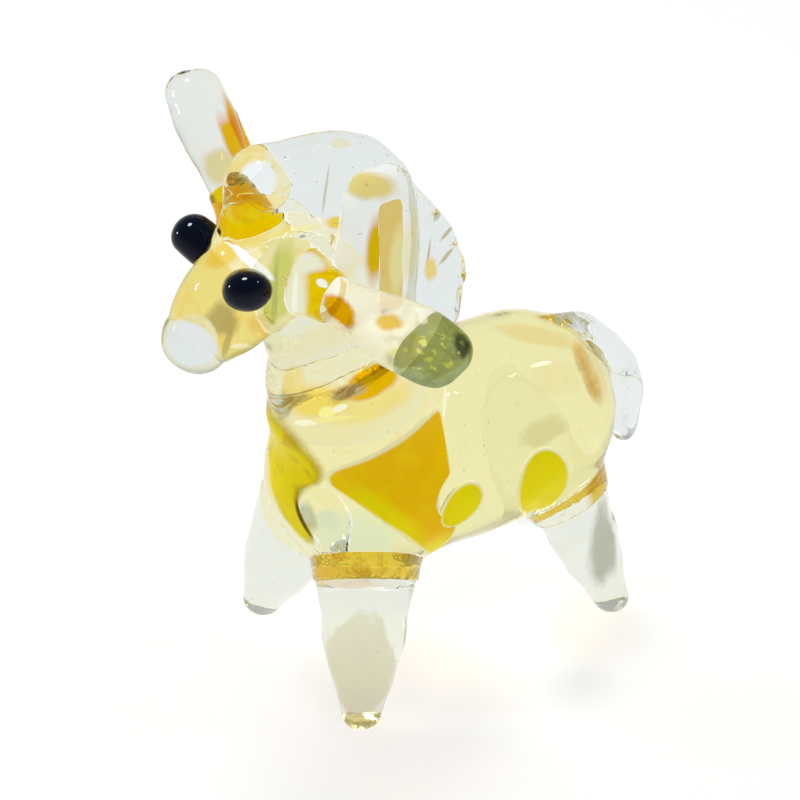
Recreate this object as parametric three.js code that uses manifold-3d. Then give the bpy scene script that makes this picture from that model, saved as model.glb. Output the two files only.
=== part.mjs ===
// A small flame-worked glass animal: pale yellow barrel body, upright neck, clear fan-shaped mane,
// two ears that stand out sideways, four cone legs and a flat tail, each a gather of hot glass
// fused onto the one before it.
//
// Millimetres. The animal faces -Y, its left side is +X, and its feet stand on the plane z = 0.

import * as THREE from 'three';
import { mergeVertices } from 'three/addons/utils/BufferGeometryUtils.js';
import Module from 'manifold-3d';

const wasm = await Module();
wasm.setup();

// Clearance between two pieces that are fused on the real animal
const fuseGap = 0.25;

// Share of a bar's length in which its hidden end closes
const hiddenDome = 0.1;

// Body: a barrel that lies along Y
const bodyLength = 19.1;
const bodyAxisHeight = 11.2;
const chestRadius = 5.1;
const waistRadius = 5.3;
const rumpRadius = 4.95;
const chestAheadOfFeet = 1.7;
const bodyRise = 0.6;

// Neck: a tapered bar that leans forward from the shoulders to the back of the head
const neckBaseBack = 6.6;
const neckBaseRadius = 4.1;
const neckMiddleRadius = 2.75;
const neckTopRadius = 2.3;
const neckHeight = 14.6;
const neckLean = 5.3;
const neckBow = 0.6;
const neckCollarHeight = 1.2;
const neckCollarSwell = 0.15;

// Head: a tapered bar that points forward and down from the top of the neck
const headLength = 7.3;
const headDip = 40;
const headBackRadius = 2.3;
const cheekRadius = 2.5;
const browRadius = 2.45;
const noseRadius = 1.6;
const headAboveNeck = -0.2;
const headAheadOfNeck = 1.75;

// Muzzle: a clear dab at the end of the nose
const muzzleLength = 3.4;
const muzzleRadius = 1.7;
const muzzleOverlap = 2.2;

// Eyes: two oval black beads, high on the sides of the head
const eyeLength = 2.35;
const eyeHeight = 2.0;
const eyeDepth = 2.0;
const eyeAlongHead = 0.46;
const eyeAngle = 38;
const eyeSink = 0.15;

// Ears: flattened bars with round ends, one on each side behind the eyes
const leftEarLength = 11.4;
const rightEarLength = 10.9;
const leftEarWidth = 3.9;
const rightEarWidth = 3.1;
const earThickness = 2.3;
const earNeckWidth = 2.2;
const earAlongHead = 0.28;
const earAboveAxis = 0.1;
const earRootLength = 1.5;
const rootSwell = 0.15;
const leftEarSweep = 25;
const leftEarRise = -8;
const rightEarSweep = 7;
const rightEarRise = 27;
const greenEndLength = 2.6;
const earStripeWidth = 0.9;
const earStripeLength = 5.0;
const earStripeProud = 0.1;

// Mane: a flat fan on the middle plane, from the forehead to the shoulders. Its reaches are spread
// evenly between the front and the withers angle, where 0 is backwards and 90 is up.
const maneThickness = 2.0;
const maneEdgeRound = 0.7;
const maneCentreBack = 1.6;
const maneCentreDrop = 2.2;
const maneFrontAngle = 150;
const maneWithersAngle = -50;
const maneReachFront = 5.2;
const maneReachBrow = 8.3;
const maneReachTop = 8.1;
const maneReachCrown = 7.4;
const maneReachBack = 6.3;
const maneReachLow = 7.0;
const maneReachWithers = 8.2;
const maneRootHeight = 0.8;

// Side lock: a leaf of clear glass with an amber stripe that hangs on the mane's left face
const lockLength = 9.2;
const lockWidth = 4.0;
const lockEndWidth = 3.4;
const lockThickness = 1.3;
const lockEndThickness = 1.2;
const lockBack = 3.7;
const lockTopDrop = 1.6;
const lockStripeWidth = 1.5;
const lockStripeLength = 6.8;
const lockStripeDepth = 0.5;
const lockStripeBack = 0.4;

// Forelock: a round dab of clear glass at the front of the mane, on top of the head
const forelockRadius = 1.25;
const forelockWidth = 2.9;
const forelockAngle = 116;

// Legs: cones that splay outwards and stand on small flat ends
const frontHipRadius = 2.9;
const frontHipOut = 2.3;
const frontHipBack = 3.9;
const frontHipDrop = 1.2;
const frontCalfRadius = 2.2;
const frontFootRadius = 0.95;
const frontFootOut = 5.35;
const hindHipRadius = 2.3;
const hindHipOut = 2.2;
const hindHipAhead = 4.4;
const hindHipDrop = 1.2;
const hindCalfRadius = 1.8;
const hindFootRadius = 0.85;
const hindFootOut = 4.1;
const footSpacing = 16.2;
const footTrim = 0.45;
const legCollarHeight = 0.6;
const legCollarSwell = 0.12;

// Tail: a flat strip that comes out of the rump and hangs behind it. Its angles are measured at the
// middle of the rump, where 0 is backwards and 90 is up.
const tailRootWidth = 1.8;
const tailWidth = 3.0;
const tailTipWidth = 2.5;
const tailThickness = 1.3;
const tailTipThickness = 1.17;
const tailRootAngle = 65;
const tailRootSink = 0.85;
const tailBendAngle = 35;
const tailBendLift = 0.4;
const tailStandOff = 1.4;
const tailHang = 4.3;

// Colour spots: thin caps of opaque glass set into pockets in the body
const spotDepth = 0.55;
const spotProud = 0.12;
const spotCurveSteps = 5;
const patchLength = 6.1;
const patchHeight = 7.4;
const patchBack = 3.1;
const patchAngle = 20;
const smallSpotRadius = 0.95;
const smallSpotBack = 6.1;
const smallSpotAngle = 0;
const flankSpotLength = 3.1;
const flankSpotHeight = 3.9;
const flankSpotLean = 20;
const flankSpotBack = 10.7;
const flankSpotAngle = -2;
const chestSpotWidth = 4.4;
const chestSpotHeight = 4.4;
const chestSpotRise = 6;
const rumpStreakLength = 4.0;
const rumpStreakWidth = 1.5;
const rumpStreakAhead = 2.6;
const rumpStreakAngle = 48;

const degree = Math.PI / 180;

// Finishes

function glass(colour, roughness = 0.05) {
  return new THREE.MeshStandardMaterial({ color: colour, roughness, metalness: 0 });
}

const finish = {
  clearGlass: () => glass(0xdfe6e4),
  paleYellowGlass: () => glass(0xe6e2ac),
  amberGlass: () => glass(0xd9a21a),
  yellowEnamel: () => glass(0xd8ce0a, 0.15),
  orangeEnamel: () => glass(0xdcb008, 0.15),
  blackGlass: () => glass(0x0a0d1c, 0.04),
  greenGlass: () => glass(0x7f9058, 0.08),
};

// Solids: joining and cutting

function solidOf(geometry) {
  const bare = geometry.clone();
  bare.deleteAttribute('normal');
  bare.deleteAttribute('uv');
  const merged = mergeVertices(bare, 1e-4);
  return new wasm.Manifold(new wasm.Mesh({
    numProp: 3,
    vertProperties: new Float32Array(merged.attributes.position.array),
    triVerts: new Uint32Array(merged.index.array),
  }));
}

function geometryOf(solid) {
  const mesh = solid.getMesh();
  const geometry = new THREE.BufferGeometry();
  geometry.setAttribute('position', new THREE.BufferAttribute(new Float32Array(mesh.vertProperties), 3));
  geometry.setIndex(new THREE.BufferAttribute(new Uint32Array(mesh.triVerts), 1));
  geometry.computeVertexNormals();
  return geometry;
}

// The solid of another piece, in the frame of the piece that it cuts or meets
function solidSeenFrom(piece, other) {
  piece.updateWorldMatrix(true, false);
  other.updateWorldMatrix(true, false);
  const toPiece = piece.matrixWorld.clone().invert().multiply(other.matrixWorld);
  return solidOf(other.geometry.clone().applyMatrix4(toPiece));
}

function cut(piece, ...others) {
  let solid = solidOf(piece.geometry);
  for (const other of others) {
    solid = solid.subtract(solidSeenFrom(piece, other));
  }
  piece.geometry = geometryOf(solid);
  return piece;
}

// Keeps only what lies inside at least one of the others
function keepWithin(piece, ...others) {
  let reach = solidSeenFrom(piece, others[0]);
  for (const other of others.slice(1)) {
    reach = reach.add(solidSeenFrom(piece, other));
  }
  piece.geometry = geometryOf(solidOf(piece.geometry).intersect(reach));
  return piece;
}

// Shapes

// A value that runs smoothly through the given [share, value] stops
function along(stops) {
  return (t) => {
    const last = stops.length - 1;
    let i = 0;
    while (i < last - 1 && t > stops[i + 1][0]) {
      i += 1;
    }
    const [t0, v0] = stops[i];
    const [t1, v1] = stops[i + 1];
    const share = THREE.MathUtils.clamp((t - t0) / (t1 - t0), 0, 1);
    return THREE.MathUtils.lerp(v0, v1, THREE.MathUtils.smoothstep(share, 0, 1));
  };
}

// A bar of oval section along a curve, with domed ends. halfWide and halfThick give the section at
// each share of the length, wide is the direction of its width, and dome is each dome's share.
function bar({ curve, halfWide, halfThick, wide, dome, grow = 0, steps = 10, sides = 16 }) {
  const domeSteps = 3;
  const profile = [];
  for (let i = 0; i <= domeSteps; i += 1) {
    const turn = (i / domeSteps) * 90 * degree;
    profile.push(new THREE.Vector2(Math.sin(turn), dome[0] * (1 - Math.cos(turn))));
  }
  for (let i = 1; i < steps; i += 1) {
    profile.push(new THREE.Vector2(1, THREE.MathUtils.lerp(dome[0], 1 - dome[1], i / steps)));
  }
  for (let i = domeSteps; i >= 0; i -= 1) {
    const turn = (i / domeSteps) * 90 * degree;
    profile.push(new THREE.Vector2(Math.sin(turn), 1 - dome[1] * (1 - Math.cos(turn))));
  }
  profile[0].x = 0;
  profile[profile.length - 1].x = 0;
  const geometry = new THREE.LatheGeometry(profile, sides);
  const position = geometry.attributes.position;
  for (let i = 0; i < position.count; i += 1) {
    const t = THREE.MathUtils.clamp(position.getY(i), 0, 1);
    const tangent = curve.getTangentAt(t);
    const across = wide.clone().addScaledVector(tangent, -wide.dot(tangent)).normalize();
    const through = new THREE.Vector3().crossVectors(across, tangent);
    const stretch = grow * (2 * t - 1);
    const point = curve.getPointAt(t)
      .addScaledVector(tangent, stretch)
      .addScaledVector(across, position.getX(i) * (halfWide(t) + grow))
      .addScaledVector(through, position.getZ(i) * (halfThick(t) + grow));
    position.setXYZ(i, point.x, point.y, point.z);
  }
  return geometry;
}

function pathThrough(...points) {
  return new THREE.CatmullRomCurve3(points.map((p) => new THREE.Vector3(...p)));
}

function ellipsoid(a, b, c, grow = 0, sides = 15) {
  return new THREE.SphereGeometry(1, sides, sides * 0.6).scale(a + grow, b + grow, c + grow);
}

function piece(name, geometry, material) {
  const mesh = new THREE.Mesh(geometry, material);
  mesh.name = name;
  return mesh;
}

const animal = new THREE.Group();
const acrossAnimal = new THREE.Vector3(1, 0, 0);

// Body

const bodyStart = -chestAheadOfFeet;
const bodyEnd = bodyStart + bodyLength;

function bodyBarrel(grow = 0) {
  const curve = pathThrough(
    [0, bodyStart, bodyAxisHeight],
    [0, bodyStart + bodyLength / 2, bodyAxisHeight + bodyRise / 2],
    [0, bodyEnd, bodyAxisHeight + bodyRise],
  );
  const radius = along([[0, chestRadius], [0.25, chestRadius], [0.55, waistRadius], [1, rumpRadius]]);
  return piece('body', bar({
    curve,
    halfWide: radius,
    halfThick: radius,
    wide: acrossAnimal,
    dome: [chestRadius / bodyLength, rumpRadius / bodyLength],
    grow,
    sides: 32,
    steps: 8,
  }), finish.paleYellowGlass());
}

const body = bodyBarrel();
animal.add(body);

// Neck, with an amber collar where it joins the body

const neckBase = new THREE.Vector3(0, bodyStart + neckBaseBack, bodyAxisHeight);
const neckTop = neckBase.clone().add(new THREE.Vector3(0, -neckLean, neckHeight));
const neckMiddle = neckBase.clone().lerp(neckTop, 0.5);
neckMiddle.y -= neckBow;

function neckBar(grow = 0) {
  const radius = along([
    [0, neckBaseRadius], [0.3, neckBaseRadius], [0.65, neckMiddleRadius], [1, neckTopRadius],
  ]);
  return piece('neck', bar({
    curve: new THREE.CatmullRomCurve3([neckBase, neckMiddle, neckTop]),
    halfWide: radius,
    halfThick: radius,
    wide: acrossAnimal,
    dome: [neckBaseRadius / neckHeight, neckTopRadius / neckHeight],
    grow,
    sides: 22,
    steps: 7,
  }), finish.paleYellowGlass());
}

// Head and muzzle

const headAim = new THREE.Vector3(0, -Math.cos(headDip * degree), -Math.sin(headDip * degree));
const headUp = new THREE.Vector3(0, -Math.sin(headDip * degree), Math.cos(headDip * degree));
const headBack = neckTop.clone().add(new THREE.Vector3(0, -headAheadOfNeck, headAboveNeck))
  .addScaledVector(headAim, -headBackRadius);

function headPoint(share) {
  return headBack.clone().addScaledVector(headAim, share * headLength);
}

const headRadius = along([
  [0, headBackRadius], [0.3, cheekRadius], [0.6, browRadius], [1, noseRadius],
]);

function headBar(grow = 0) {
  return piece('head', bar({
    curve: new THREE.LineCurve3(headPoint(0), headPoint(1)),
    halfWide: headRadius,
    halfThick: headRadius,
    wide: acrossAnimal,
    dome: [headBackRadius / headLength, noseRadius / headLength],
    grow,
    sides: 18,
    steps: 5,
  }), finish.paleYellowGlass());
}

function muzzleDab(grow = 0) {
  const mesh = piece(
    'muzzle_tip',
    ellipsoid(muzzleRadius, muzzleLength / 2, muzzleRadius, grow),
    finish.clearGlass(),
  );
  mesh.position.copy(headPoint(1)).addScaledVector(headAim, muzzleLength / 2 - muzzleOverlap);
  mesh.rotation.x = headDip * degree;
  return mesh;
}

const head = headBar();
const muzzle = cut(muzzleDab(), headBar(fuseGap));
const neck = cut(neckBar(), bodyBarrel(fuseGap * 2 + neckCollarHeight), headBar(fuseGap));
const neckCollar = cut(
  keepWithin(neckBar(neckCollarSwell), bodyBarrel(fuseGap + neckCollarHeight)),
  bodyBarrel(fuseGap),
);
neckCollar.name = 'neck_collar';
neckCollar.material = finish.amberGlass();
animal.add(head, muzzle, neck, neckCollar);

// Eyes

function eyeBead(name, side, grow = 0) {
  const mesh = piece(
    name,
    ellipsoid(eyeDepth / 2, eyeLength / 2, eyeHeight / 2, grow),
    finish.blackGlass(),
  );
  const outward = new THREE.Vector3(side * Math.cos(eyeAngle * degree), 0, 0)
    .addScaledVector(headUp, Math.sin(eyeAngle * degree));
  mesh.position.copy(headPoint(eyeAlongHead))
    .addScaledVector(outward, headRadius(eyeAlongHead) + eyeDepth / 2 - eyeSink);
  mesh.rotation.set(headDip * degree, -side * eyeAngle * degree, 0);
  return mesh;
}

for (const [name, side] of [['left_eye', 1], ['right_eye', -1]]) {
  animal.add(cut(eyeBead(name, side), headBar(fuseGap)));
}

// Ears. Each has an amber root against the head. The left one ends in green glass, and the right
// one carries an amber stripe along its back edge.

function earAim(side, sweep, rise) {
  return new THREE.Vector3(
    side * Math.cos(sweep * degree) * Math.cos(rise * degree),
    Math.sin(sweep * degree) * Math.cos(rise * degree),
    Math.sin(rise * degree),
  );
}

const earStart = headPoint(earAlongHead).addScaledVector(headUp, earAboveAxis);

function earBar({ name, side, sweep, rise, length, width }, grow = 0) {
  const aim = earAim(side, sweep, rise);
  const end = earStart.clone().addScaledVector(aim, length);
  const wide = along([[0, earNeckWidth / 2], [0.35, earNeckWidth / 2], [0.75, width / 2], [1, width / 2]]);
  const thick = along([[0, earNeckWidth / 2], [0.4, earNeckWidth / 2], [1, earThickness / 2]]);
  return piece(name, bar({
    curve: new THREE.LineCurve3(earStart, end),
    halfWide: wide,
    halfThick: thick,
    wide: new THREE.Vector3(0, 1, 0),
    dome: [hiddenDome, width / 2 / length],
    grow,
    sides: 14,
    steps: 6,
  }), finish.clearGlass());
}

const ears = {
  left: {
    name: 'left_ear',
    side: 1,
    sweep: leftEarSweep,
    rise: leftEarRise,
    length: leftEarLength,
    width: leftEarWidth,
  },
  right: {
    name: 'right_ear',
    side: -1,
    sweep: rightEarSweep,
    rise: rightEarRise,
    length: rightEarLength,
    width: rightEarWidth,
  },
};

function earRoot(side) {
  const root = keepWithin(earBar(ears[side], rootSwell), headBar(fuseGap + earRootLength));
  root.name = `${side}_ear_root`;
  root.material = finish.amberGlass();
  return cut(root, headBar(fuseGap), neckBar(fuseGap));
}

function earBlade(side) {
  return cut(earBar(ears[side]), headBar(2 * fuseGap + earRootLength));
}

// A block that takes everything past the given distance from the ear's start
function pastOnEar({ side, sweep, rise, length }, distance) {
  const aim = earAim(side, sweep, rise);
  const block = piece('past', new THREE.BoxGeometry(length, length, length), finish.clearGlass());
  block.position.copy(earStart).addScaledVector(aim, distance + length / 2);
  block.quaternion.setFromUnitVectors(new THREE.Vector3(0, 0, 1), aim);
  return block;
}

function earStripe(grow = 0) {
  const { side, sweep, rise, length, width } = ears.right;
  const aim = earAim(side, sweep, rise);
  const backwards = new THREE.Vector3(0, 1, 0).addScaledVector(aim, -aim.y).normalize();
  const middle = earStart.clone()
    .addScaledVector(aim, length - width / 2 - earStripeLength / 2)
    .addScaledVector(backwards, (width - earStripeWidth) / 2 + earStripeProud);
  const half = () => earStripeWidth / 2;
  return piece('right_ear_stripe', bar({
    curve: new THREE.LineCurve3(
      middle.clone().addScaledVector(aim, -earStripeLength / 2),
      middle.clone().addScaledVector(aim, earStripeLength / 2),
    ),
    halfWide: half,
    halfThick: half,
    wide: backwards,
    dome: [earStripeWidth / 2 / earStripeLength, earStripeWidth / 2 / earStripeLength],
    grow,
    sides: 12,
    steps: 4,
  }), finish.amberGlass());
}

const greenStart = leftEarLength - greenEndLength;
const leftEar = cut(earBlade('left'), pastOnEar(ears.left, greenStart - fuseGap));
const greenEnd = keepWithin(earBar(ears.left), pastOnEar(ears.left, greenStart));
greenEnd.name = 'left_ear_green_end';
greenEnd.material = finish.greenGlass();
animal.add(earRoot('left'), leftEar, greenEnd);
animal.add(earRoot('right'), cut(earBlade('right'), earStripe(fuseGap)), earStripe());

// Mane: a fan on the middle plane whose outline passes through one reach for each direction. Its
// inner part lies inside the neck, the head and the body, and is cut away there.

const maneCentre = new THREE.Vector2(neckTop.y + maneCentreBack, neckTop.z - maneCentreDrop);

function maneOutline(grow) {
  const reaches = [
    maneReachFront, maneReachBrow, maneReachTop, maneReachCrown,
    maneReachBack, maneReachLow, maneReachWithers, maneReachWithers,
  ];
  const edge = reaches.map((reach, i) => {
    const angle = THREE.MathUtils.lerp(maneFrontAngle, maneWithersAngle, i / (reaches.length - 1));
    return new THREE.Vector2(
      maneCentre.x + (reach + grow - maneEdgeRound) * Math.cos(angle * degree),
      maneCentre.y + (reach + grow - maneEdgeRound) * Math.sin(angle * degree),
    );
  });
  const shape = new THREE.Shape();
  shape.moveTo(edge[0].x, edge[0].y);
  shape.splineThru(edge.slice(1));
  for (const inside of [neckBase, neckMiddle, neckTop]) {
    shape.lineTo(inside.y, inside.z);
  }
  return shape;
}

function maneFan(grow = 0) {
  const depth = maneThickness + 2 * grow - 2 * maneEdgeRound;
  const geometry = new THREE.ExtrudeGeometry(maneOutline(grow), {
    depth,
    bevelThickness: maneEdgeRound,
    bevelSize: maneEdgeRound,
    bevelSegments: 2,
    curveSegments: 5,
  });
  geometry.translate(0, 0, -depth / 2);
  const mesh = piece('mane', geometry, finish.clearGlass());
  mesh.rotation.set(90 * degree, 0, 90 * degree, 'ZYX');
  return mesh;
}

// A band of yellow glass between the mane and what it stands on
function maneRoot() {
  const band = cut(
    keepWithin(maneFan(rootSwell), neckBar(fuseGap + maneRootHeight), headBar(fuseGap + maneRootHeight)),
    neckBar(fuseGap),
    headBar(fuseGap),
    bodyBarrel(2 * fuseGap + neckCollarHeight),
  );
  band.name = 'mane_root_band';
  band.material = finish.amberGlass();
  return band;
}

function forelockDab(grow = 0) {
  const mesh = piece(
    'forelock',
    ellipsoid(forelockWidth / 2, forelockRadius, forelockRadius, grow, 16),
    finish.clearGlass(),
  );
  const reach = maneReachBrow - forelockRadius / 2;
  mesh.position.set(
    0,
    maneCentre.x + reach * Math.cos(forelockAngle * degree),
    maneCentre.y + reach * Math.sin(forelockAngle * degree),
  );
  return mesh;
}

const mane = cut(
  maneFan(),
  bodyBarrel(2 * fuseGap + maneRootHeight),
  neckBar(2 * fuseGap + maneRootHeight),
  headBar(2 * fuseGap + maneRootHeight),
  forelockDab(fuseGap),
);
const forelock = cut(forelockDab(), headBar(2 * fuseGap + maneRootHeight));
animal.add(mane, maneRoot(), forelock);

const lockTop = new THREE.Vector3(
  maneThickness / 2 + fuseGap + lockThickness / 2,
  neckTop.y + lockBack,
  maneCentre.y + maneReachTop - lockTopDrop,
);

function lockLeaf(grow = 0) {
  const bottom = lockTop.clone();
  bottom.z -= lockLength;
  return piece('side_lock', bar({
    curve: new THREE.LineCurve3(lockTop, bottom),
    halfWide: along([[0, lockEndWidth / 2], [0.5, lockWidth / 2], [1, lockEndWidth / 2]]),
    halfThick: along([[0, lockEndThickness / 2], [0.5, lockThickness / 2], [1, lockEndThickness / 2]]),
    wide: new THREE.Vector3(0, 1, 0),
    dome: [lockEndWidth / 2 / lockLength, lockEndWidth / 2 / lockLength],
    grow,
    sides: 14,
    steps: 6,
  }), finish.clearGlass());
}

function lockStripe(grow = 0) {
  const half = lockStripeLength / 2;
  const middle = lockTop.clone().add(new THREE.Vector3(lockThickness / 2, lockStripeBack, -lockLength / 2));
  return piece('side_lock_stripe', bar({
    curve: new THREE.LineCurve3(
      middle.clone().add(new THREE.Vector3(0, 0, half)),
      middle.clone().add(new THREE.Vector3(0, 0, -half)),
    ),
    halfWide: () => lockStripeWidth / 2,
    halfThick: () => lockStripeDepth,
    wide: new THREE.Vector3(0, 1, 0),
    dome: [lockStripeWidth / 2 / lockStripeLength, lockStripeWidth / 2 / lockStripeLength],
    grow,
    sides: 12,
    steps: 4,
  }), finish.amberGlass());
}

animal.add(
  cut(lockLeaf(), neckBar(fuseGap), lockStripe(fuseGap)),
  keepWithin(lockStripe(), lockLeaf(spotProud)),
);

// Legs, each with an amber collar at the body

// The round end of a leg reaches a little below the ground, where the trim leaves a flat foot
function legBar({ name, side, hip, foot, hipRadius, calfRadius, footRadius, grow = 0 }) {
  const radius = along([[0, hipRadius], [0.45, calfRadius], [1, footRadius]]);
  const top = new THREE.Vector3(side * hip[0], hip[1], hip[2]);
  const bottom = new THREE.Vector3(side * foot[0], foot[1], 0);
  const length = top.distanceTo(bottom);
  const aim = bottom.clone().sub(top).normalize();
  bottom.addScaledVector(aim, footTrim);
  return piece(name, bar({
    curve: new THREE.LineCurve3(top, bottom),
    halfWide: radius,
    halfThick: radius,
    wide: acrossAnimal,
    dome: [hiddenDome, footRadius / length],
    grow,
    sides: 16,
    steps: 4,
  }), finish.clearGlass());
}

const frontHip = [frontHipOut, bodyStart + frontHipBack, bodyAxisHeight - frontHipDrop];
const hindHip = [hindHipOut, bodyEnd - hindHipAhead, bodyAxisHeight - hindHipDrop];

const legs = {
  front: {
    hip: frontHip,
    foot: [frontFootOut, 0],
    hipRadius: frontHipRadius,
    calfRadius: frontCalfRadius,
    footRadius: frontFootRadius,
  },
  hind: {
    hip: hindHip,
    foot: [hindFootOut, footSpacing],
    hipRadius: hindHipRadius,
    calfRadius: hindCalfRadius,
    footRadius: hindFootRadius,
  },
};

// Everything below the ground
const groundWidth = 4 * footSpacing;
const ground = piece(
  'ground',
  new THREE.BoxGeometry(groundWidth, groundWidth, groundWidth),
  finish.clearGlass(),
);
ground.position.z = -groundWidth / 2;

for (const [place, sizes] of Object.entries(legs)) {
  for (const [sideName, side] of [['left', 1], ['right', -1]]) {
    const leg = cut(
      legBar({ ...sizes, side, name: `${sideName}_${place}_leg` }),
      bodyBarrel(2 * fuseGap + legCollarHeight),
      ground,
    );
    const collar = cut(
      keepWithin(
        legBar({ ...sizes, side, name: `${sideName}_${place}_leg_collar`, grow: legCollarSwell }),
        bodyBarrel(fuseGap + legCollarHeight),
      ),
      bodyBarrel(fuseGap),
    );
    collar.material = finish.amberGlass();
    animal.add(leg, collar);
  }
}

// Tail

function aroundRump(angle, lift) {
  const radius = rumpRadius + lift;
  return [
    0,
    bodyEnd - rumpRadius + radius * Math.cos(angle * degree),
    bodyAxisHeight + bodyRise + radius * Math.sin(angle * degree),
  ];
}

function tailStrip(grow = 0) {
  const [, behind, level] = aroundRump(0, tailStandOff);
  const curve = pathThrough(
    aroundRump(tailRootAngle, -tailRootSink),
    aroundRump(tailBendAngle, tailBendLift),
    [0, behind, level],
    [0, behind, level - tailHang],
  );
  return piece('tail', bar({
    curve,
    halfWide: along([[0, tailRootWidth / 2], [0.5, tailWidth / 2], [1, tailTipWidth / 2]]),
    halfThick: along([[0, tailThickness / 2], [1, tailTipThickness / 2]]),
    wide: acrossAnimal,
    dome: [hiddenDome, tailTipWidth / 2 / curve.getLength()],
    grow,
    sides: 14,
    steps: 10,
  }), finish.clearGlass());
}

animal.add(cut(tailStrip(), bodyBarrel(fuseGap)));

// Colour spots. A spot's outline is drawn in the tangent plane of the barrel, pushed through it, and
// keeps only a thin cap at the surface; the pocket is the same shape with the gap all round.

function ovalOutline(length, height, lean = 0) {
  const shape = new THREE.Shape();
  shape.absellipse(0, 0, length / 2, height / 2, 0, 2 * Math.PI, false, lean * degree);
  return shape;
}

// A fin: a point at the front, a point at the top, and a tongue that runs down towards the belly
function finOutline() {
  const at = (back, up) => [back * patchLength, up * patchHeight];
  const shape = new THREE.Shape();
  shape.moveTo(...at(-0.47, 0.25));
  shape.quadraticCurveTo(...at(-0.36, -0.2), ...at(0.1, -0.53));
  shape.quadraticCurveTo(...at(0.28, -0.56), ...at(0.36, -0.47));
  shape.bezierCurveTo(...at(0.16, -0.3), ...at(0.2, -0.16), ...at(0.4, 0));
  shape.quadraticCurveTo(...at(0.52, 0.18), ...at(0.46, 0.42));
  shape.quadraticCurveTo(...at(0.1, 0.33), ...at(-0.47, 0.25));
  return shape;
}

// The outline moved outwards by the given distance
function outset(outline, distance) {
  const points = outline.getPoints(spotCurveSteps);
  points.pop();
  return new THREE.Shape(points.map((point, i) => {
    const before = points.at(i - 1);
    const after = points[(i + 1) % points.length];
    const along = after.clone().sub(before).normalize();
    return new THREE.Vector2(point.x + along.y * distance, point.y - along.x * distance);
  }));
}

function spotPrism(name, outline, material, grow = 0) {
  const geometry = new THREE.ExtrudeGeometry(outset(outline, grow), {
    depth: bodyLength / 2,
    bevelEnabled: false,
  });
  return piece(name, geometry, material);
}

// Turned so that its outline is seen from outside with the animal's back to the right and up above
function onSide(prism, back, angle) {
  const share = (back + chestAheadOfFeet) / bodyLength;
  const turned = new THREE.Group();
  turned.position.set(0, back, bodyAxisHeight + share * bodyRise);
  turned.rotation.y = -angle * degree;
  prism.rotation.set(90 * degree, 0, 90 * degree, 'ZYX');
  turned.add(prism);
  return turned;
}

function onChest(prism, rise) {
  const turned = new THREE.Group();
  turned.position.set(0, bodyStart + chestRadius, bodyAxisHeight);
  turned.rotation.x = (90 - rise) * degree;
  turned.add(prism);
  return turned;
}

const spots = [
  ['shoulder_patch', finOutline(), finish.orangeEnamel, (p) => onSide(p, patchBack, patchAngle)],
  ['small_spot', ovalOutline(2 * smallSpotRadius, 2 * smallSpotRadius), finish.yellowEnamel,
    (p) => onSide(p, smallSpotBack, smallSpotAngle)],
  ['flank_spot', ovalOutline(flankSpotLength, flankSpotHeight, -flankSpotLean), finish.yellowEnamel,
    (p) => onSide(p, flankSpotBack, flankSpotAngle)],
  ['chest_spot', ovalOutline(chestSpotWidth, chestSpotHeight), finish.yellowEnamel,
    (p) => onChest(p, chestSpotRise)],
  ['rump_streak', ovalOutline(rumpStreakWidth, rumpStreakLength), finish.amberGlass,
    (p) => onSide(p, bodyEnd - rumpStreakAhead, rumpStreakAngle)],
];

for (const [name, outline, material, place] of spots) {
  const pocket = spotPrism(name, outline, material(), fuseGap);
  place(pocket);
  cut(body, cut(pocket, bodyBarrel(-spotDepth - fuseGap)));
  const spot = spotPrism(name, outline, material());
  animal.add(place(spot));
  cut(keepWithin(spot, bodyBarrel(spotProud)), bodyBarrel(-spotDepth));
}

// The origin is the middle of the animal's own box, on the surface that it stands on
const box = new THREE.Box3().setFromObject(animal, true);
const centre = box.getCenter(new THREE.Vector3());
animal.position.set(-centre.x, -centre.y, 0);

export default animal;
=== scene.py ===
# A small flame-worked glass pony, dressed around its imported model: each gather of glass is a skin worked
# out with numpy, and the skins are melted into each other where the flame fused them.

import math

import bpy
import numpy as np
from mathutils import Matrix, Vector


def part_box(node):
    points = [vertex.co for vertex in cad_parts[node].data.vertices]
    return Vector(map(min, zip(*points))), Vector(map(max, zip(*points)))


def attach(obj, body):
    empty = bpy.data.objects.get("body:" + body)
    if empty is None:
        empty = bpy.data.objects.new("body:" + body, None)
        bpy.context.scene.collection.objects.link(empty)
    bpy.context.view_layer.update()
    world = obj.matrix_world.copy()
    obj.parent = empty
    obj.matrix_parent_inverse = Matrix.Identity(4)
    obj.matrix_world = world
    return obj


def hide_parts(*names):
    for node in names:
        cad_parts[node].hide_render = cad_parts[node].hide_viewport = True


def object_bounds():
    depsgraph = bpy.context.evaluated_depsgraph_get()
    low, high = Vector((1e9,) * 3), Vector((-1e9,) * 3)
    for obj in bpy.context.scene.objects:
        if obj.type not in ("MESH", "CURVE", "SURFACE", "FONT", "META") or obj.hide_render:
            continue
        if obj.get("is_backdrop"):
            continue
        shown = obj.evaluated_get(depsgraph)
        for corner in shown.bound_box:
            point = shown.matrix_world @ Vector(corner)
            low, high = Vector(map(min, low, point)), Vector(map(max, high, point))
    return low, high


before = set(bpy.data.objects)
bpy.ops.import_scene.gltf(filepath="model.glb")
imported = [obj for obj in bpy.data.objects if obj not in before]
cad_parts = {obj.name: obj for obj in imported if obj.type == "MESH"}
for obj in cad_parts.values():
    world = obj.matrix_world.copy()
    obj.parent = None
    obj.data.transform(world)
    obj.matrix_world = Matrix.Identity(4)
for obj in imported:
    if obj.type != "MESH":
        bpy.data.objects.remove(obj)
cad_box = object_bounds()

# Body. A gather of pale yellow glass, drawn into a barrel with round ends.
# It comes first, and every other gather is melted onto it.

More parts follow.
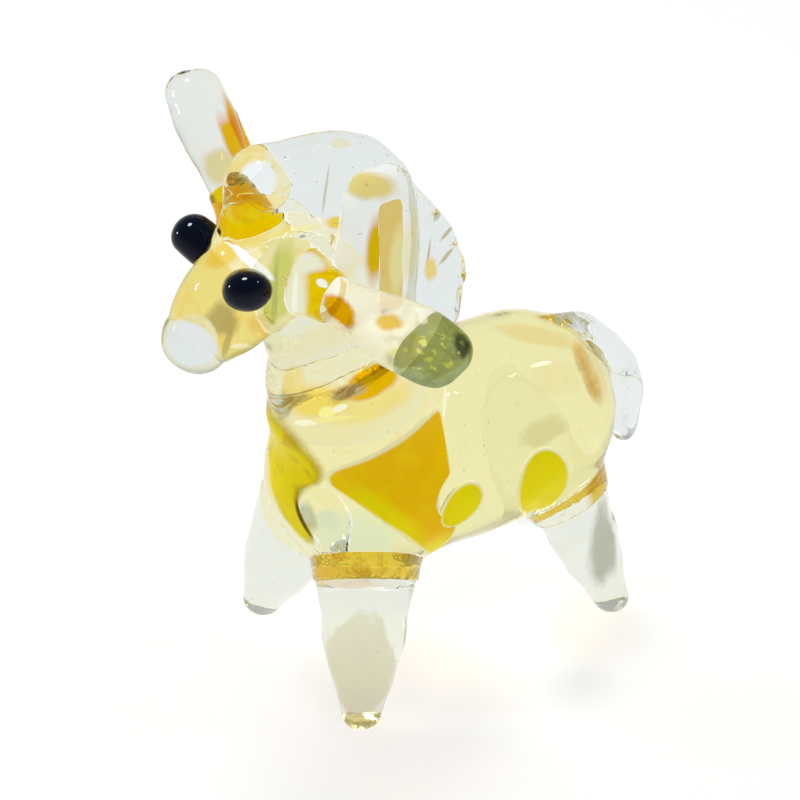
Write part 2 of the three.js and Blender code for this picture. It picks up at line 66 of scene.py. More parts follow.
MM = 0.001
BODY_LENGTH = 19.1
BODY_AXIS_HEIGHT = 11.2
BODY_RISE = 0.6
CHEST_RADIUS = 5.1
WAIST_RADIUS = 5.3
RUMP_RADIUS = 4.95
CHEST_AHEAD = 1.7

body_low, body_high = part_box("body")
SHIFT = np.array([(body_low[0] + body_high[0]) / 2 / MM, body_high[1] / MM + CHEST_AHEAD - BODY_LENGTH, 0.0])
ACROSS = (1.0, 0.0, 0.0)
BACKWARDS = (0.0, 1.0, 0.0)
JUST_UNDER_HALF = 0.49

gathers = []


def placed(points):
    """Points in the maker's millimetres, moved by SHIFT and given in metres."""
    return (np.asarray(points, float) + SHIFT) * MM


def eased(stops, share):
    """The value at each share, between [share, value] stops, by 3s^2 - 2s^3 from stop to stop."""
    at = np.array([stop[0] for stop in stops], float)
    value = np.array([stop[1] for stop in stops], float)
    if len(stops) == 1:
        return np.full(np.shape(share), value[0])
    i = np.clip(np.searchsorted(at, share, side="right") - 1, 0, len(stops) - 2)
    s = np.clip((share - at[i]) / (at[i + 1] - at[i]), 0, 1)
    return value[i] + (value[i + 1] - value[i]) * s * s * (3 - 2 * s)


def curve_through(points, count):
    """Even steps along a smooth curve: a cubic for each stretch, whose slopes weigh the neighbouring steps by
    the square roots of their lengths, so that it doesn't swing out at a bend."""
    p = np.asarray(points, float)
    p = np.vstack([2 * p[0] - p[1], p, 2 * p[-1] - p[-2]])
    gap = np.sqrt(np.linalg.norm(np.diff(p, axis=0), axis=1))[:, None]
    step = np.diff(p, axis=0) / gap
    slope = step[:-1] - (p[2:] - p[:-2]) / (gap[:-1] + gap[1:]) + step[1:]
    s = np.linspace(0, len(p) - 3, 40 * len(p))
    i = np.minimum(s.astype(int), len(p) - 4)
    t = (s - i)[:, None]
    leave, arrive = slope[i] * gap[i + 1], slope[i + 1] * gap[i + 1]
    fine = ((2 * t**3 - 3 * t**2 + 1) * p[i + 1] + (t**3 - 2 * t**2 + t) * leave
            + (3 * t**2 - 2 * t**3) * p[i + 2] + (t**3 - t**2) * arrive)
    run = np.concatenate([[0], np.cumsum(np.linalg.norm(np.diff(fine, axis=0), axis=1))])
    even = np.linspace(0, run[-1], count)
    return np.stack([np.interp(even, run, fine[:, k]) for k in range(3)], axis=1), run[-1]


def rod(points, half_wide, half_thick=None, wide=ACROSS, round_ends=(True, True), count=60):
    """A row of balls along a curve. Where it is wider than thick, each ball is drawn out across the curve."""
    centre, length = curve_through(points, count)
    share = np.linspace(0, 1, count)
    wide_half = eased(half_wide, share)
    radius = wide_half if half_thick is None else eased(half_thick, share)
    most = JUST_UNDER_HALF * length
    inset = [min(r, most) * on for r, on in zip((radius[0], radius[-1]), round_ends)]
    keep = (share * length >= inset[0]) & ((1 - share) * length >= inset[1])
    to_tip = np.minimum(np.where(round_ends[0], share * length, np.inf),
                        np.where(round_ends[1], (1 - share) * length, np.inf))
    near = np.clip(wide_half - to_tip, 0, wide_half)
    plan = np.sqrt(np.maximum(wide_half**2 - near**2, 0))
    tangent = np.gradient(centre, axis=0)
    tangent /= np.linalg.norm(tangent, axis=1)[:, None]
    side = np.asarray(wide, float) - tangent * (tangent @ np.asarray(wide, float))[:, None]
    side /= np.linalg.norm(side, axis=1)[:, None]
    made = {"centre": centre, "radius": radius, "flat": np.maximum(plan - radius, 0), "side": side,
            "tangent": tangent, "run": share * length}
    return {key: value[keep] for key, value in made.items()}


def rod_field(made):
    """Distance from points to a rod: the least over its balls of the way to the ball less its radius."""
    c, side, flat, radius = made["centre"], made["side"], made["flat"], made["radius"]
    centre_square = (c**2).sum(axis=1)
    along_side = (c * side).sum(axis=1)

    def distance(p):
        """The way from each point to the surface of the nearest ball."""
        square = (p**2).sum(axis=1)[:, None] - 2 * p @ c.T + centre_square
        if flat.any():
            a = np.abs(p @ side.T - along_side)
            square += np.maximum(a - flat, 0) ** 2 - a**2
        return (np.sqrt(np.maximum(square, 0)) - radius).min(axis=1)

    return distance


def rod_grid(made, around, cap_rows=10):
    """Start points and outward directions of a rod's skin: rings along it, and at each end rings that tilt
    to a pole."""
    turn = np.linspace(0, 2 * np.pi, around, endpoint=False)
    tilt = np.linspace(-np.pi / 2, 0, cap_rows, endpoint=False)
    n = len(made["centre"])
    index = np.concatenate([np.zeros(cap_rows, int), np.arange(n), np.full(cap_rows, n - 1)])
    lean = np.concatenate([tilt, np.zeros(n), -tilt[::-1]])
    side = made["side"][index][:, None]
    through = np.cross(made["side"], made["tangent"])[index][:, None]
    tangent = made["tangent"][index][:, None]
    flat = made["flat"][index][:, None, None]
    c, s = np.cos(turn)[None, :, None], np.sin(turn)[None, :, None]
    level, climb = np.cos(lean)[:, None, None], np.sin(lean)[:, None, None]
    start = made["centre"][index][:, None] + side * flat * c * level
    out = (side * c + through * s) * level + tangent * climb
    reach = made["radius"][index][:, None] * np.ones(around)[None]
    return start, out, reach


def settle(start, out, reach, field, steps):
    """Lengths along the outward directions at which a field is nought, found by stepping on by the rest."""
    shape = reach.shape
    base, aim, r = start.reshape(-1, 3), out.reshape(-1, 3), reach.reshape(-1).copy()
    for _ in range(steps):
        r -= field(base + aim * r[:, None])
    return r.reshape(shape)


def per_vertex(rings):
    """Values on a grid of rings, one for each vertex of its skin. Its end rings close to a point."""
    first, last = rings[0].mean(axis=0)[None], rings[-1].mean(axis=0)[None]
    return np.concatenate([first, rings[1:-1].reshape(-1, *rings.shape[2:]), last])


def skin_mesh(name, points):
    """A closed skin over a grid of rings: quads between rings and a fan at each end. Its faces are turned
    outward, so that the volume they hold, a sum of a . (b x c) over triangles, is above nought."""
    rows, around = points.shape[:2]
    verts = per_vertex(points)
    i = np.arange(rows - 3)[:, None] * around + 1
    j = np.arange(around)[None]
    k = (j + 1) % around
    quads = np.stack([i + j, i + k, i + around + k, i + around + j], axis=-1).reshape(-1, 4)
    last = len(verts) - 1
    tail = last - around
    first_fan = np.stack([np.zeros(around, int), 1 + k[0], 1 + j[0]], axis=-1)
    last_fan = np.stack([np.full(around, last), tail + j[0], tail + k[0]], axis=-1)
    triangles = (quads[:, [0, 1, 2]], quads[:, [0, 2, 3]], first_fan, last_fan)
    a, b, c = verts[np.concatenate(triangles)].transpose(1, 0, 2)
    if (a * np.cross(b, c)).sum() < 0:
        quads, first_fan, last_fan = quads[:, ::-1], first_fan[:, ::-1], last_fan[:, ::-1]
    mesh = bpy.data.meshes.new(name)
    mesh.from_pydata(placed(verts).tolist(), [], quads.tolist() + first_fan.tolist() + last_fan.tolist())
    mesh.polygons.foreach_set("use_smooth", np.ones(len(mesh.polygons), bool))
    mesh.update()
    piece = bpy.data.objects.new(name, mesh)
    bpy.context.scene.collection.objects.link(piece)
    return piece


def write_on(piece, name, rings):
    """Puts a value for each vertex on a piece, for its material to read."""
    values = per_vertex(rings).astype(np.float32)
    piece.data.attributes.new(name, "FLOAT", "POINT").data.foreach_set("value", values)


def dress(piece, node, material):
    """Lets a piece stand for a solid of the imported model."""
    piece.data.materials.append(material)
    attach(piece, "root")
    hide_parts(node)


def gather(name, node, material, grid, field, host=None, claim=None, clear=True):
    """Makes a piece from its grid and keeps what the flame needs to melt it into its neighbours. A piece with
    a host, such as a wrap, counts as part of that host's glass."""
    start, out, reach = grid
    points = start + out * reach[..., None]
    piece = skin_mesh(name, points)
    dress(piece, node, material)
    gathers.append({
        "piece": piece, "grid": grid, "field": field, "host": host or node, "claim": claim or field,
        "clear": clear, "low": points.min(axis=(0, 1)), "high": points.max(axis=(0, 1)),
    })


def add(tree, kind, gives, feeds, **settings):
    """Adds a node. Its settings are given by name. Each of its inputs is fed with a value or with another
    node's output, and the output that is asked for comes back."""
    made = tree.nodes.new("ShaderNode" + kind)
    for key, value in settings.items():
        setattr(made, key, value)
    for key, value in feeds.items():
        if isinstance(value, bpy.types.NodeSocket):
            tree.links.new(value, made.inputs[key])
        else:
            made.inputs[key].default_value = value
    return made.outputs[gives]


def blend(tree, amount, below, tint, **settings):
    """Mixes a tint over a colour by an amount."""
    return add(tree, "Mix", "Result", {"Factor": amount, "A": below, "B": tint}, data_type="RGBA", **settings)


def ramp(tree, value, low, high, at_low=0.0, at_high=1.0, kind="SMOOTHSTEP"):
    """A value carried from one range to another."""
    feeds = {"Value": value, "From Min": low, "From Max": high, "To Min": at_low, "To Max": at_high}
    return add(tree, "MapRange", "Result", feeds, interpolation_type=kind)


def maths(tree, operation, *terms):
    """A sum, product or other small step on values."""
    return add(tree, "Math", "Value", dict(enumerate(terms)), operation=operation)


def molten_group():
    """Colour, roughness and height of drawn glass: cords of another tint, fine seeds and a slow waver."""
    group = bpy.data.node_groups.new("molten_glass", "ShaderNodeTree")
    for way, names in (("INPUT", ("Clear", "Cord", "Cords", "Cord Scale", "Seeds", "Haze")),
                       ("OUTPUT", ("Color", "Roughness", "Height"))):
        for name in names:
            kind = "NodeSocketColor" if name in ("Clear", "Cord", "Color") else "NodeSocketFloat"
            group.interface.new_socket(name, in_out=way, socket_type=kind)
    given = group.nodes.new("NodeGroupInput").outputs
    on_piece = add(group, "TexCoord", "Object", {})
    in_mm = add(group, "Mapping", "Vector", {"Vector": on_piece, "Scale": (1 / MM,) * 3})
    cords = add(group, "TexNoise", "Fac",
                {"Vector": in_mm, "Scale": given["Cord Scale"], "Detail": 3, "Distortion": 1.6})
    share = maths(group, "MULTIPLY", ramp(group, cords, 0.48, 0.68), given["Cords"])
    tint = blend(group, share, given["Clear"], given["Cord"])
    seeds = add(group, "TexVoronoi", "Distance", {"Vector": in_mm, "Scale": 1.6})
    few = maths(group, "MULTIPLY", ramp(group, seeds, 0.06, 0.10, 1, 0, "LINEAR"), given["Seeds"])
    dotted = blend(group, few, tint, (0.45, 0.43, 0.36, 1), blend_type="MULTIPLY")
    slow = add(group, "TexNoise", "Fac", {"Vector": in_mm, "Scale": 0.55, "Detail": 2})
    breath = add(group, "TexNoise", "Fac", {"Vector": in_mm, "Scale": 1.1})
    out = group.nodes.new("NodeGroupOutput").inputs
    group.links.new(dotted, out["Color"])
    group.links.new(maths(group, "MULTIPLY_ADD", breath, 0.03, given["Haze"]), out["Roughness"])
    group.links.new(maths(group, "MULTIPLY_ADD", share, 0.35, slow), out["Height"])
    return group


MOLTEN = molten_group()


def stain_or_painted_light(tree, colour, tint, centre, size, strength=1.0, edge=0.35, turn=(0, 0, 0), flecks=0.0,
          ragged=0.5):
    """Mixes a tint into a colour inside a soft-edged oval, given in the maker's millimetres. The oval can be
    turned, and broken up into flecks. Most tints are stains of the glass itself; some are painted light:
    painted highlights, glints and a painted shadow."""
    where = add(tree, "TexCoord", "Object", {})
    local = add(tree, "Mapping", "Vector", {
        "Vector": where, "Location": tuple(placed(centre)), "Rotation": turn,
        "Scale": tuple(np.asarray(size, float) * MM),
    }, vector_type="TEXTURE")
    away = add(tree, "VectorMath", "Value", {0: local}, operation="LENGTH")
    cloud = add(tree, "TexNoise", "Fac", {"Vector": local, "Scale": 1.3, "Detail": 3})
    uneven = maths(tree, "MULTIPLY_ADD", cloud, ragged, away)
    middle = 1 + ragged / 2
    amount = ramp(tree, uneven, middle - edge, middle + edge, strength, 0)
    if flecks:
        grain = add(tree, "TexNoise", "Fac", {"Vector": where, "Scale": flecks / MM})
        amount = maths(tree, "MULTIPLY", amount, ramp(tree, grain, 0.56, 0.62, kind="LINEAR"))
    return blend(tree, amount, colour, (*tint, 1))


def melt_of(name, stains_and_painted_light, bump_reach, bump, **given):
    """Starts a material from the molten group, and gives its colour with its stains and painted light, its
    roughness and its normal.
    """
    material = bpy.data.materials.new(name)
    material.use_nodes = True
    tree = material.node_tree
    tree.nodes.clear()
    molten = tree.nodes.new("ShaderNodeGroup")
    molten.node_tree = MOLTEN
    for key, value in given.items():
        value = (*value, 1) if isinstance(value, tuple) else value
        molten.inputs[key.replace("_", " ")].default_value = value
    colour = molten.outputs["Color"]
    for each in stains_and_painted_light:
        colour = stain_or_painted_light(tree, colour, **each)
    raised = {"Strength": bump, "Distance": bump_reach * MM, "Height": molten.outputs["Height"]}
    normal = add(tree, "Bump", "Normal", raised)
    return material, colour, {"Roughness": molten.outputs["Roughness"], "Normal": normal}


def glass(name, clear, cord, cords=0.3, cord_scale=0.35, seeds=0.0, haze=0.0, bump=0.12, stains_and_painted_light=(),
          shade=(0.92, 0.92, 0.90), bends=1.33, rim=(0.60, 0.60, 0.48), clearness=1.0, one_way=False):
    """Fire-polished glass: it bends light, is tinted at its skin, deeper where it is seen along the skin, and
    lets part of the lamps' light through. Milky glass has a clearness below one, and one-way glass bends
    light on its way in only."""
    material, colour, surface = melt_of(name, stains_and_painted_light, 0.3, bump, Clear=clear, Cord=cord, Cords=cords,
                                        Cord_Scale=cord_scale, Seeds=seeds, Haze=haze)
    tree = material.node_tree
    along = add(tree, "LayerWeight", "Facing", {"Blend": 0.5})
    fused = add(tree, "Attribute", "Fac", {}, attribute_name="open")
    glassy = add(tree, "BsdfPrincipled", "BSDF", {
        "Base Color": blend(tree, ramp(tree, along, 0.5, 1, 0, 0.7), colour, (*rim, 1)),
        "Transmission Weight": clearness, "IOR": bends,
        "Alpha": maths(tree, "GREATER_THAN", fused, 0), **surface,
    })
    straight = add(tree, "LightPath", "Is Shadow Ray", {})
    if one_way:
        straight = maths(tree, "MAXIMUM", straight, add(tree, "NewGeometry", "Backfacing", {}))
    lit_through = add(tree, "BsdfTransparent", "BSDF", {"Color": (*shade, 1)})
    either = add(tree, "MixShader", "Shader", {"Fac": straight, 1: glassy, 2: lit_through})
    finish = tree.nodes.new("ShaderNodeOutputMaterial")
    tree.links.new(either, finish.inputs["Surface"])
    return material


PALE_YELLOW = (0.84, 0.81, 0.43)
YELLOW_RIM = (0.64, 0.54, 0.20)
CLEAR = (0.80, 0.84, 0.83)
AMBER = (0.76, 0.40, 0.01)
DEEP_AMBER = (0.58, 0.22, 0.0)
# Near-white tint for painted glints and highlights.
PAINTED_GLINT = (1.0, 0.99, 0.92)
AMBER_SHADE = (0.8, 0.6, 0.2)
FACING = (math.radians(-36.7), math.radians(-30.7))


def stain_or_light_blot(tint, centre, size, **more):
    """A stain or painted light given for glass(): its colour, place and half sizes, and what else the oval's
    mixing takes.
    """
    return {"tint": tint, "centre": centre, "size": size, **more}


def mark(tint, centre, wide, high, tilt=0, deep=1.2, **more):
    """A stain or painted light that is flat towards the front left and above, tilted in that plane by some
    degrees.
    """
    return stain_or_light_blot(tint, centre, (deep, wide, high), turn=(math.radians(tilt), *FACING), **more)


body_start = np.array([0, -CHEST_AHEAD, BODY_AXIS_HEIGHT])
body_end = body_start + [0, BODY_LENGTH, BODY_RISE]
body_rod = rod([body_start, body_end],
               [(0, CHEST_RADIUS), (0.25, CHEST_RADIUS), (0.55, WAIST_RADIUS), (1, RUMP_RADIUS)], count=90)
body_field = rod_field(body_rod)
# Its clear window behind the chest, amber zones on the rump's back, a painted shadow above the flank spot,
# and dark spots by the patch.
body_glass = glass("pale_yellow_body_glass", PALE_YELLOW, (0.84, 0.78, 0.36), cords=0.25, seeds=0.5,
                   bump=0.04, bends=1.2, rim=YELLOW_RIM, stains_and_painted_light=(
    stain_or_light_blot((0.60, 0.74, 0.58), (4.0, 0.3, 10.8), (1.8, 2.3, 1.5), strength=0.9),
    mark((0.74, 0.50, 0.12), (0.9, 12.9, 16.6), 1.9, 0.45, -12, 1.6, strength=0.7),
    mark((0.60, 0.42, 0.16), (3.0, 15.1, 14.9), 0.6, 1.7, 15, 1.6, strength=0.6),
    mark((0.78, 0.58, 0.24), (3.2, 12.6, 15.5), 1.3, 0.9, 0, 1.4, strength=0.4),
    # Painted shadow: an olive smudge above the flank spot.
    stain_or_light_blot((0.36, 0.33, 0.04), (4.8, 11.0, 13.8), (0.9, 1.3, 0.6), strength=0.5, ragged=0.8),
    mark((0.22, 0.24, 0.10), (2.2, -1.1, 11.5), 0.45, 0.8, 10, strength=0.8),
    mark((0.50, 0.66, 0.56), (3.2, -0.5, 11.8), 0.6, 0.5, -30, strength=0.8),
))
gather("body_gather", "body", body_glass, rod_grid(body_rod, 150, 24), body_field)

# Neck. A tapered bar of the same glass, pressed onto the shoulders and bent forward while hot.
# An amber wrap was wound round the joint and melted in.

NECK_BASE_BACK = 6.6
NECK_HEIGHT = 14.6
NECK_LEAN = 5.3
NECK_BOW = 0.6
NECK_BASE_RADIUS = 4.1
NECK_MIDDLE_RADIUS = 2.75
NECK_TOP_RADIUS = 2.3
COLLAR_REACH = 1.45
COLLAR_SWELL = 0.15
WRAP_MARGIN = 0.2
LEAST_REACH = 0.05

neck_base = np.array([0, NECK_BASE_BACK - CHEST_AHEAD, BODY_AXIS_HEIGHT])
neck_top = neck_base + [0, -NECK_LEAN, NECK_HEIGHT]
neck_middle = (neck_base + neck_top) / 2 - [0, NECK_BOW, 0]
neck_rod = rod([neck_base, neck_middle, neck_top], [
    (0, NECK_BASE_RADIUS), (0.3, NECK_BASE_RADIUS), (0.65, NECK_MIDDLE_RADIUS), (1, NECK_TOP_RADIUS),
])
neck_field = rod_field(neck_rod)
along_neck = (math.atan2(NECK_LEAN, NECK_HEIGHT), 0, 0)
# Amber and yellow zones, which the neck and its wrap share, and painted glints among them: a bright yellow
# line, a bright yellow spot and two white strokes.
NECK_STAINS_AND_GLINTS = (
    stain_or_light_blot((0.82, 0.66, 0.20), (0, 2.4, 17.8), (5.0, 5.0, 1.6), strength=0.6, turn=along_neck),
    mark((0.84, 0.64, 0.12), (3.6, 2.2, 18.2), 2.4, 0.6, 22, 1.6, strength=0.9),
    mark((0.86, 0.56, 0.02), (2.3, -0.6, 18.5), 1.7, 0.85, 5, 1.6, strength=0.95),
    mark((0.66, 0.24, 0.0), (3.2, 2.2, 19.3), 1.9, 0.75, 22, 1.2, edge=0.15, ragged=0.4),
    mark((0.36, 0.22, 0.06), (3.0, 0.8, 19.0), 0.8, 0.32, 12, edge=0.3, strength=0.8),
    mark((0.50, 0.34, 0.02), (1.0, -1.4, 18.4), 0.35, 1.4, -10, strength=0.8),
    # Painted glints: a bright yellow line, a bright yellow spot and two white strokes.
    mark((0.92, 0.80, 0.22), (2.6, -0.3, 17.5), 1.4, 0.14, 8, edge=0.3),
    mark((1.0, 0.95, 0.22), (2.75, -0.24, 18.04), 0.42, 0.26, 10, edge=0.2),
    mark(PAINTED_GLINT, (3.06, 0.30, 18.27), 0.38, 0.16, 20, edge=0.2),
    mark(PAINTED_GLINT, (1.94, -1.02, 17.15), 0.55, 0.15, 0, edge=0.2),
    mark((0.80, 0.62, 0.12), (1.4, -1.3, 19.4), 0.6, 0.9, -15, 1.4, strength=0.8, ragged=0.6),
)
neck_glass = glass("pale_neck_glass", (0.76, 0.77, 0.60), (0.78, 0.74, 0.46), cords=0.3, bump=0.05,
                   bends=1.12, rim=YELLOW_RIM, stains_and_painted_light=NECK_STAINS_AND_GLINTS)
gather("neck_bar", "neck", neck_glass, rod_grid(neck_rod, 110, 16), neck_field)


def ring_field(own, swell, inner, reach):
    """The ring where a gather, swollen a little, lies within reach of another: the greater of the two
    distances."""
    return lambda p: np.maximum(own(p) - swell, inner(p) - reach)


def wrap(name, node, material, host, made, own, swell, inner, reach, around):
    """A thread wound round a rod where it meets another gather. Its grid is the stretch of the rod that lies
    within reach of the other gather, settled on the ring's field."""
    near = inner(made["centre"]) < reach - WRAP_MARGIN
    start, out, first = rod_grid({key: value[near] for key, value in made.items()}, around, 12)
    field = ring_field(own, swell, inner, reach)
    first = settle(start, out, first * 0.5, field, 14)
    gather(name, node, material, (start, out, np.maximum(first, LEAST_REACH)), field, host)


amber_wrap_glass = glass("amber_wrap_glass", (0.86, 0.80, 0.44), (0.82, 0.66, 0.20), cords=0.6,
                         cord_scale=0.5, bump=0.2, shade=AMBER_SHADE, bends=1.12, rim=(0.70, 0.56, 0.16),
                         stains_and_painted_light=NECK_STAINS_AND_GLINTS[1:])
wrap("neck_wrap", "neck_collar", amber_wrap_glass, "neck", neck_rod, neck_field,
     COLLAR_SWELL, body_field, COLLAR_REACH, 120)

# Head and muzzle. A short tapered bar fused across the top of the neck, dipping forward, with a clear
# dab at the end of the nose.

HEAD_LENGTH = 7.3
HEAD_DIP = math.radians(40)
HEAD_BACK_RADIUS = 2.3
CHEEK_RADIUS = 2.5
BROW_RADIUS = 2.45
NOSE_RADIUS = 1.6
HEAD_ABOVE_NECK = -0.2
HEAD_AHEAD = 1.75
MUZZLE_LENGTH = 3.4
MUZZLE_RADIUS = 1.7
MUZZLE_OVERLAP = 2.2

head_aim = np.array([0, -math.cos(HEAD_DIP), -math.sin(HEAD_DIP)])
head_up = np.array([0, -math.sin(HEAD_DIP), math.cos(HEAD_DIP)])
head_back = neck_top + [0, -HEAD_AHEAD, HEAD_ABOVE_NECK] - head_aim * HEAD_BACK_RADIUS
HEAD_STOPS = [(0, HEAD_BACK_RADIUS), (0.3, CHEEK_RADIUS), (0.6, BROW_RADIUS), (1, NOSE_RADIUS)]


def head_point(share):
    """A point on the head's axis, at a share of the way from its back to its nose."""
    return head_back + head_aim * share * HEAD_LENGTH


head_rod = rod([head_point(0), head_point(1)], HEAD_STOPS)
head_field = rod_field(head_rod)
MUZZLE_CLEAR = mark((0.73, 0.78, 0.76), (1.2, -6.5, 23.6), 1.22, 1.22, 0, 7.0, edge=0.08, ragged=0.1)
# Amber on the crown, a dark green-brown cheek, a smoky nose, and painted white highlights at the brow and
# throat.
HEAD_STAINS_AND_HIGHLIGHTS = (
    mark((0.78, 0.42, 0.0), (0.4, -4.2, 27.3), 1.2, 0.6, 25, 1.8, strength=0.9),
    mark((0.44, 0.46, 0.03), (2.4, -2.5, 25.8), 0.72, 2.2, -8, 1.5, edge=0.2, strength=0.95),
    mark((0.24, 0.26, 0.02), (2.4, -2.7, 25.6), 0.14, 1.9, -4, 1.5, edge=0.4, strength=0.8),
    mark((0.22, 0.17, 0.05), (1.8, -5.2, 24.7), 0.75, 0.85, -15, strength=0.9, ragged=0.8),
    mark((0.26, 0.20, 0.06), (2.05, -5.1, 23.5), 0.16, 0.85, -20, strength=0.8),
    mark((0.70, 0.46, 0.10), (2.3, -3.6, 24.1), 0.5, 0.6, 30, strength=0.7),
    # Painted highlight on the brow: a white stroke on the near skin and a wider white patch on the far skin
    # behind it.
    mark((1, 1, 1), (1.62, -3.36, 27.07), 1.15, 0.22, -38, 2.0, edge=0.15, ragged=0.15),
    mark((1, 1, 1), (-1.2, -1.7, 24.6), 1.9, 0.8, -38, 2.0, edge=0.15, ragged=0.15),
    # Painted highlight at the throat.
    mark(PAINTED_GLINT, (2.26, -4.5, 23.2), 0.5, 0.12, 0, 1.5, edge=0.2),
    MUZZLE_CLEAR,
)
head_glass = glass("amber_tinted_head_glass", (0.82, 0.70, 0.22), (0.78, 0.50, 0.04), cords=0.7,
                   cord_scale=0.45, bump=0.15, bends=1.2, rim=(0.60, 0.44, 0.10), stains_and_painted_light=HEAD_STAINS_AND_HIGHLIGHTS)
gather("head_bar", "head", head_glass, rod_grid(head_rod, 96, 14), head_field)

muzzle_end = head_point(1) + head_aim * (MUZZLE_LENGTH - MUZZLE_OVERLAP)
muzzle_rod = rod([muzzle_end - head_aim * MUZZLE_LENGTH, muzzle_end], [(0, MUZZLE_RADIUS)])
muzzle_glass = glass("clear_muzzle_glass", (0.78, 0.74, 0.46), (0.78, 0.76, 0.56), cords=0.3, bump=0.05,
                     bends=1.2, rim=(0.50, 0.45, 0.24), stains_and_painted_light=(MUZZLE_CLEAR,))
gather("muzzle_dab", "muzzle_tip", muzzle_glass, rod_grid(muzzle_rod, 80, 20),
       rod_field(muzzle_rod), "head")

# Eyes. Two beads of blue-black glass, each touched onto the head and pulled off short, so that it
# stands on a thick stalk.

EYE_LENGTH = 2.35
EYE_HEIGHT = 2.0
EYE_DEPTH = 2.0
EYE_ALONG = 0.46
EYE_ANGLE = math.radians(38)
EYE_SINK = 0.15
STALK_RADIUS = 0.96
STALK_LENGTH = 1.6
EYE_END_SHARE = 0.45
EYE_LONG_WAY = (0.51, 0.86)


def opaque(name, colour, other, amount, roughness, bump=0.05, gloss=0.25, rims=(), fades_over=0.0, most=1.0,
           stains_and_painted_light=()):
    """Opaque glass: two close colours in slow clouds, rims of other colours at given ways in from the edge,
    and for a thin dab an edge that fades into the glass below."""
    material, shown, surface = melt_of(name, stains_and_painted_light, 0.2, bump, Clear=colour, Cord=other, Cords=amount,
                                       Cord_Scale=0.5, Haze=roughness)
    tree = material.node_tree
    edge = add(tree, "Attribute", "Fac", {}, attribute_name="from_edge")
    for width, rim in rims:
        shown = blend(tree, ramp(tree, edge, width / 2, width * 1.5, 1, 0), shown, (*rim, 1))
    if fades_over:
        surface["Alpha"] = ramp(tree, edge, 0, fades_over, 0, most)
    surface["Specular IOR Level"] = gloss
    solid = add(tree, "BsdfPrincipled", "BSDF", {"Base Color": shown, **surface})
    finish = tree.nodes.new("ShaderNodeOutputMaterial")
    tree.links.new(solid, finish.inputs["Surface"])
    return material


eye_glass = opaque("blue_black_glass", (0.001, 0.003, 0.010), (0.004, 0.002, 0.014), 0.8, 0.02,
                   gloss=0.16)
for side, name in ((1, "left_eye"), (-1, "right_eye")):
    eye_out = np.array([side * math.cos(EYE_ANGLE), 0, 0]) + head_up * math.sin(EYE_ANGLE)
    head_half = float(eased(HEAD_STOPS, EYE_ALONG))
    bead = head_point(EYE_ALONG) + eye_out * (head_half + EYE_DEPTH / 2 - EYE_SINK)
    eye_rod = rod([bead - eye_out * STALK_LENGTH, bead + eye_out * EYE_DEPTH / 2],
                  [(0, STALK_RADIUS), (0.5, EYE_HEIGHT / 2), (1, EYE_END_SHARE * EYE_HEIGHT)])
    eye_rod["flat"] = eye_rod["flat"] + (EYE_LENGTH - EYE_HEIGHT) / 2
    level = np.array([EYE_LONG_WAY[0] * side, EYE_LONG_WAY[1], 0])
    level -= eye_out * (level @ eye_out)
    eye_rod["side"] = np.tile(level / np.linalg.norm(level), (len(eye_rod["centre"]), 1))
    gather(name + "_bead", name, eye_glass, rod_grid(eye_rod, 72, 20), rod_field(eye_rod),
           clear=False)

# Ears. Flattened bars of clear glass that stand out sideways, each on an amber root. The left one
# ends in green glass, and the right one has an amber stripe along its back edge.

LEFT_EAR_LENGTH = 11.4
RIGHT_EAR_LENGTH = 10.9
LEFT_EAR_WIDTH = 3.9
RIGHT_EAR_WIDTH = 3.1
EAR_THICKNESS = 2.3
EAR_NECK_WIDTH = 2.2
EAR_TIP_SHARE = 0.86
EAR_ALONG_HEAD = 0.28
EAR_ABOVE_AXIS = 0.1
EAR_ROOT_LENGTH = 1.75
ROOT_SWELL = 0.15
LEFT_EAR_TURN = (math.radians(25), math.radians(-8))
RIGHT_EAR_TURN = (math.radians(7), math.radians(27))
GREEN_LENGTH = 2.6
GREEN_OVERLAP = 0.3
STRIPE_WIDTH = 0.9
STRIPE_LENGTH = 5.0
STRIPE_PROUD = 0.1
STRIPE_START_RADIUS = 0.3
STRIPE_END_RADIUS = 0.2

ear_start = head_point(EAR_ALONG_HEAD) + head_up * EAR_ABOVE_AXIS


def ear_aim(side, turn):
    """The way an ear points: out to its side, swept back and raised by two angles."""
    sweep, rise = turn
    level = math.cos(rise)
    return np.array([side * math.cos(sweep) * level, math.sin(sweep) * level, math.sin(rise)])


def ear_rod(aim, length, width):
    """An ear's bar: round where it is fused to the head, wider and flatter towards its end."""
    neck = EAR_NECK_WIDTH / 2
    wide = [(0, neck), (0.35, neck), (0.75, width / 2), (1, width * EAR_TIP_SHARE / 2)]
    thick = [(0, neck), (0.4, neck), (1, EAR_THICKNESS / 2)]
    return rod([ear_start, ear_start + aim * length], wide, thick, wide=BACKWARDS,
               round_ends=(False, True), count=70)


def part_of(made, first, last):
    """The stretch of a rod between two distances from its start."""
    kept = (made["run"] >= first) & (made["run"] <= last)
    return {key: value[kept] for key, value in made.items()}


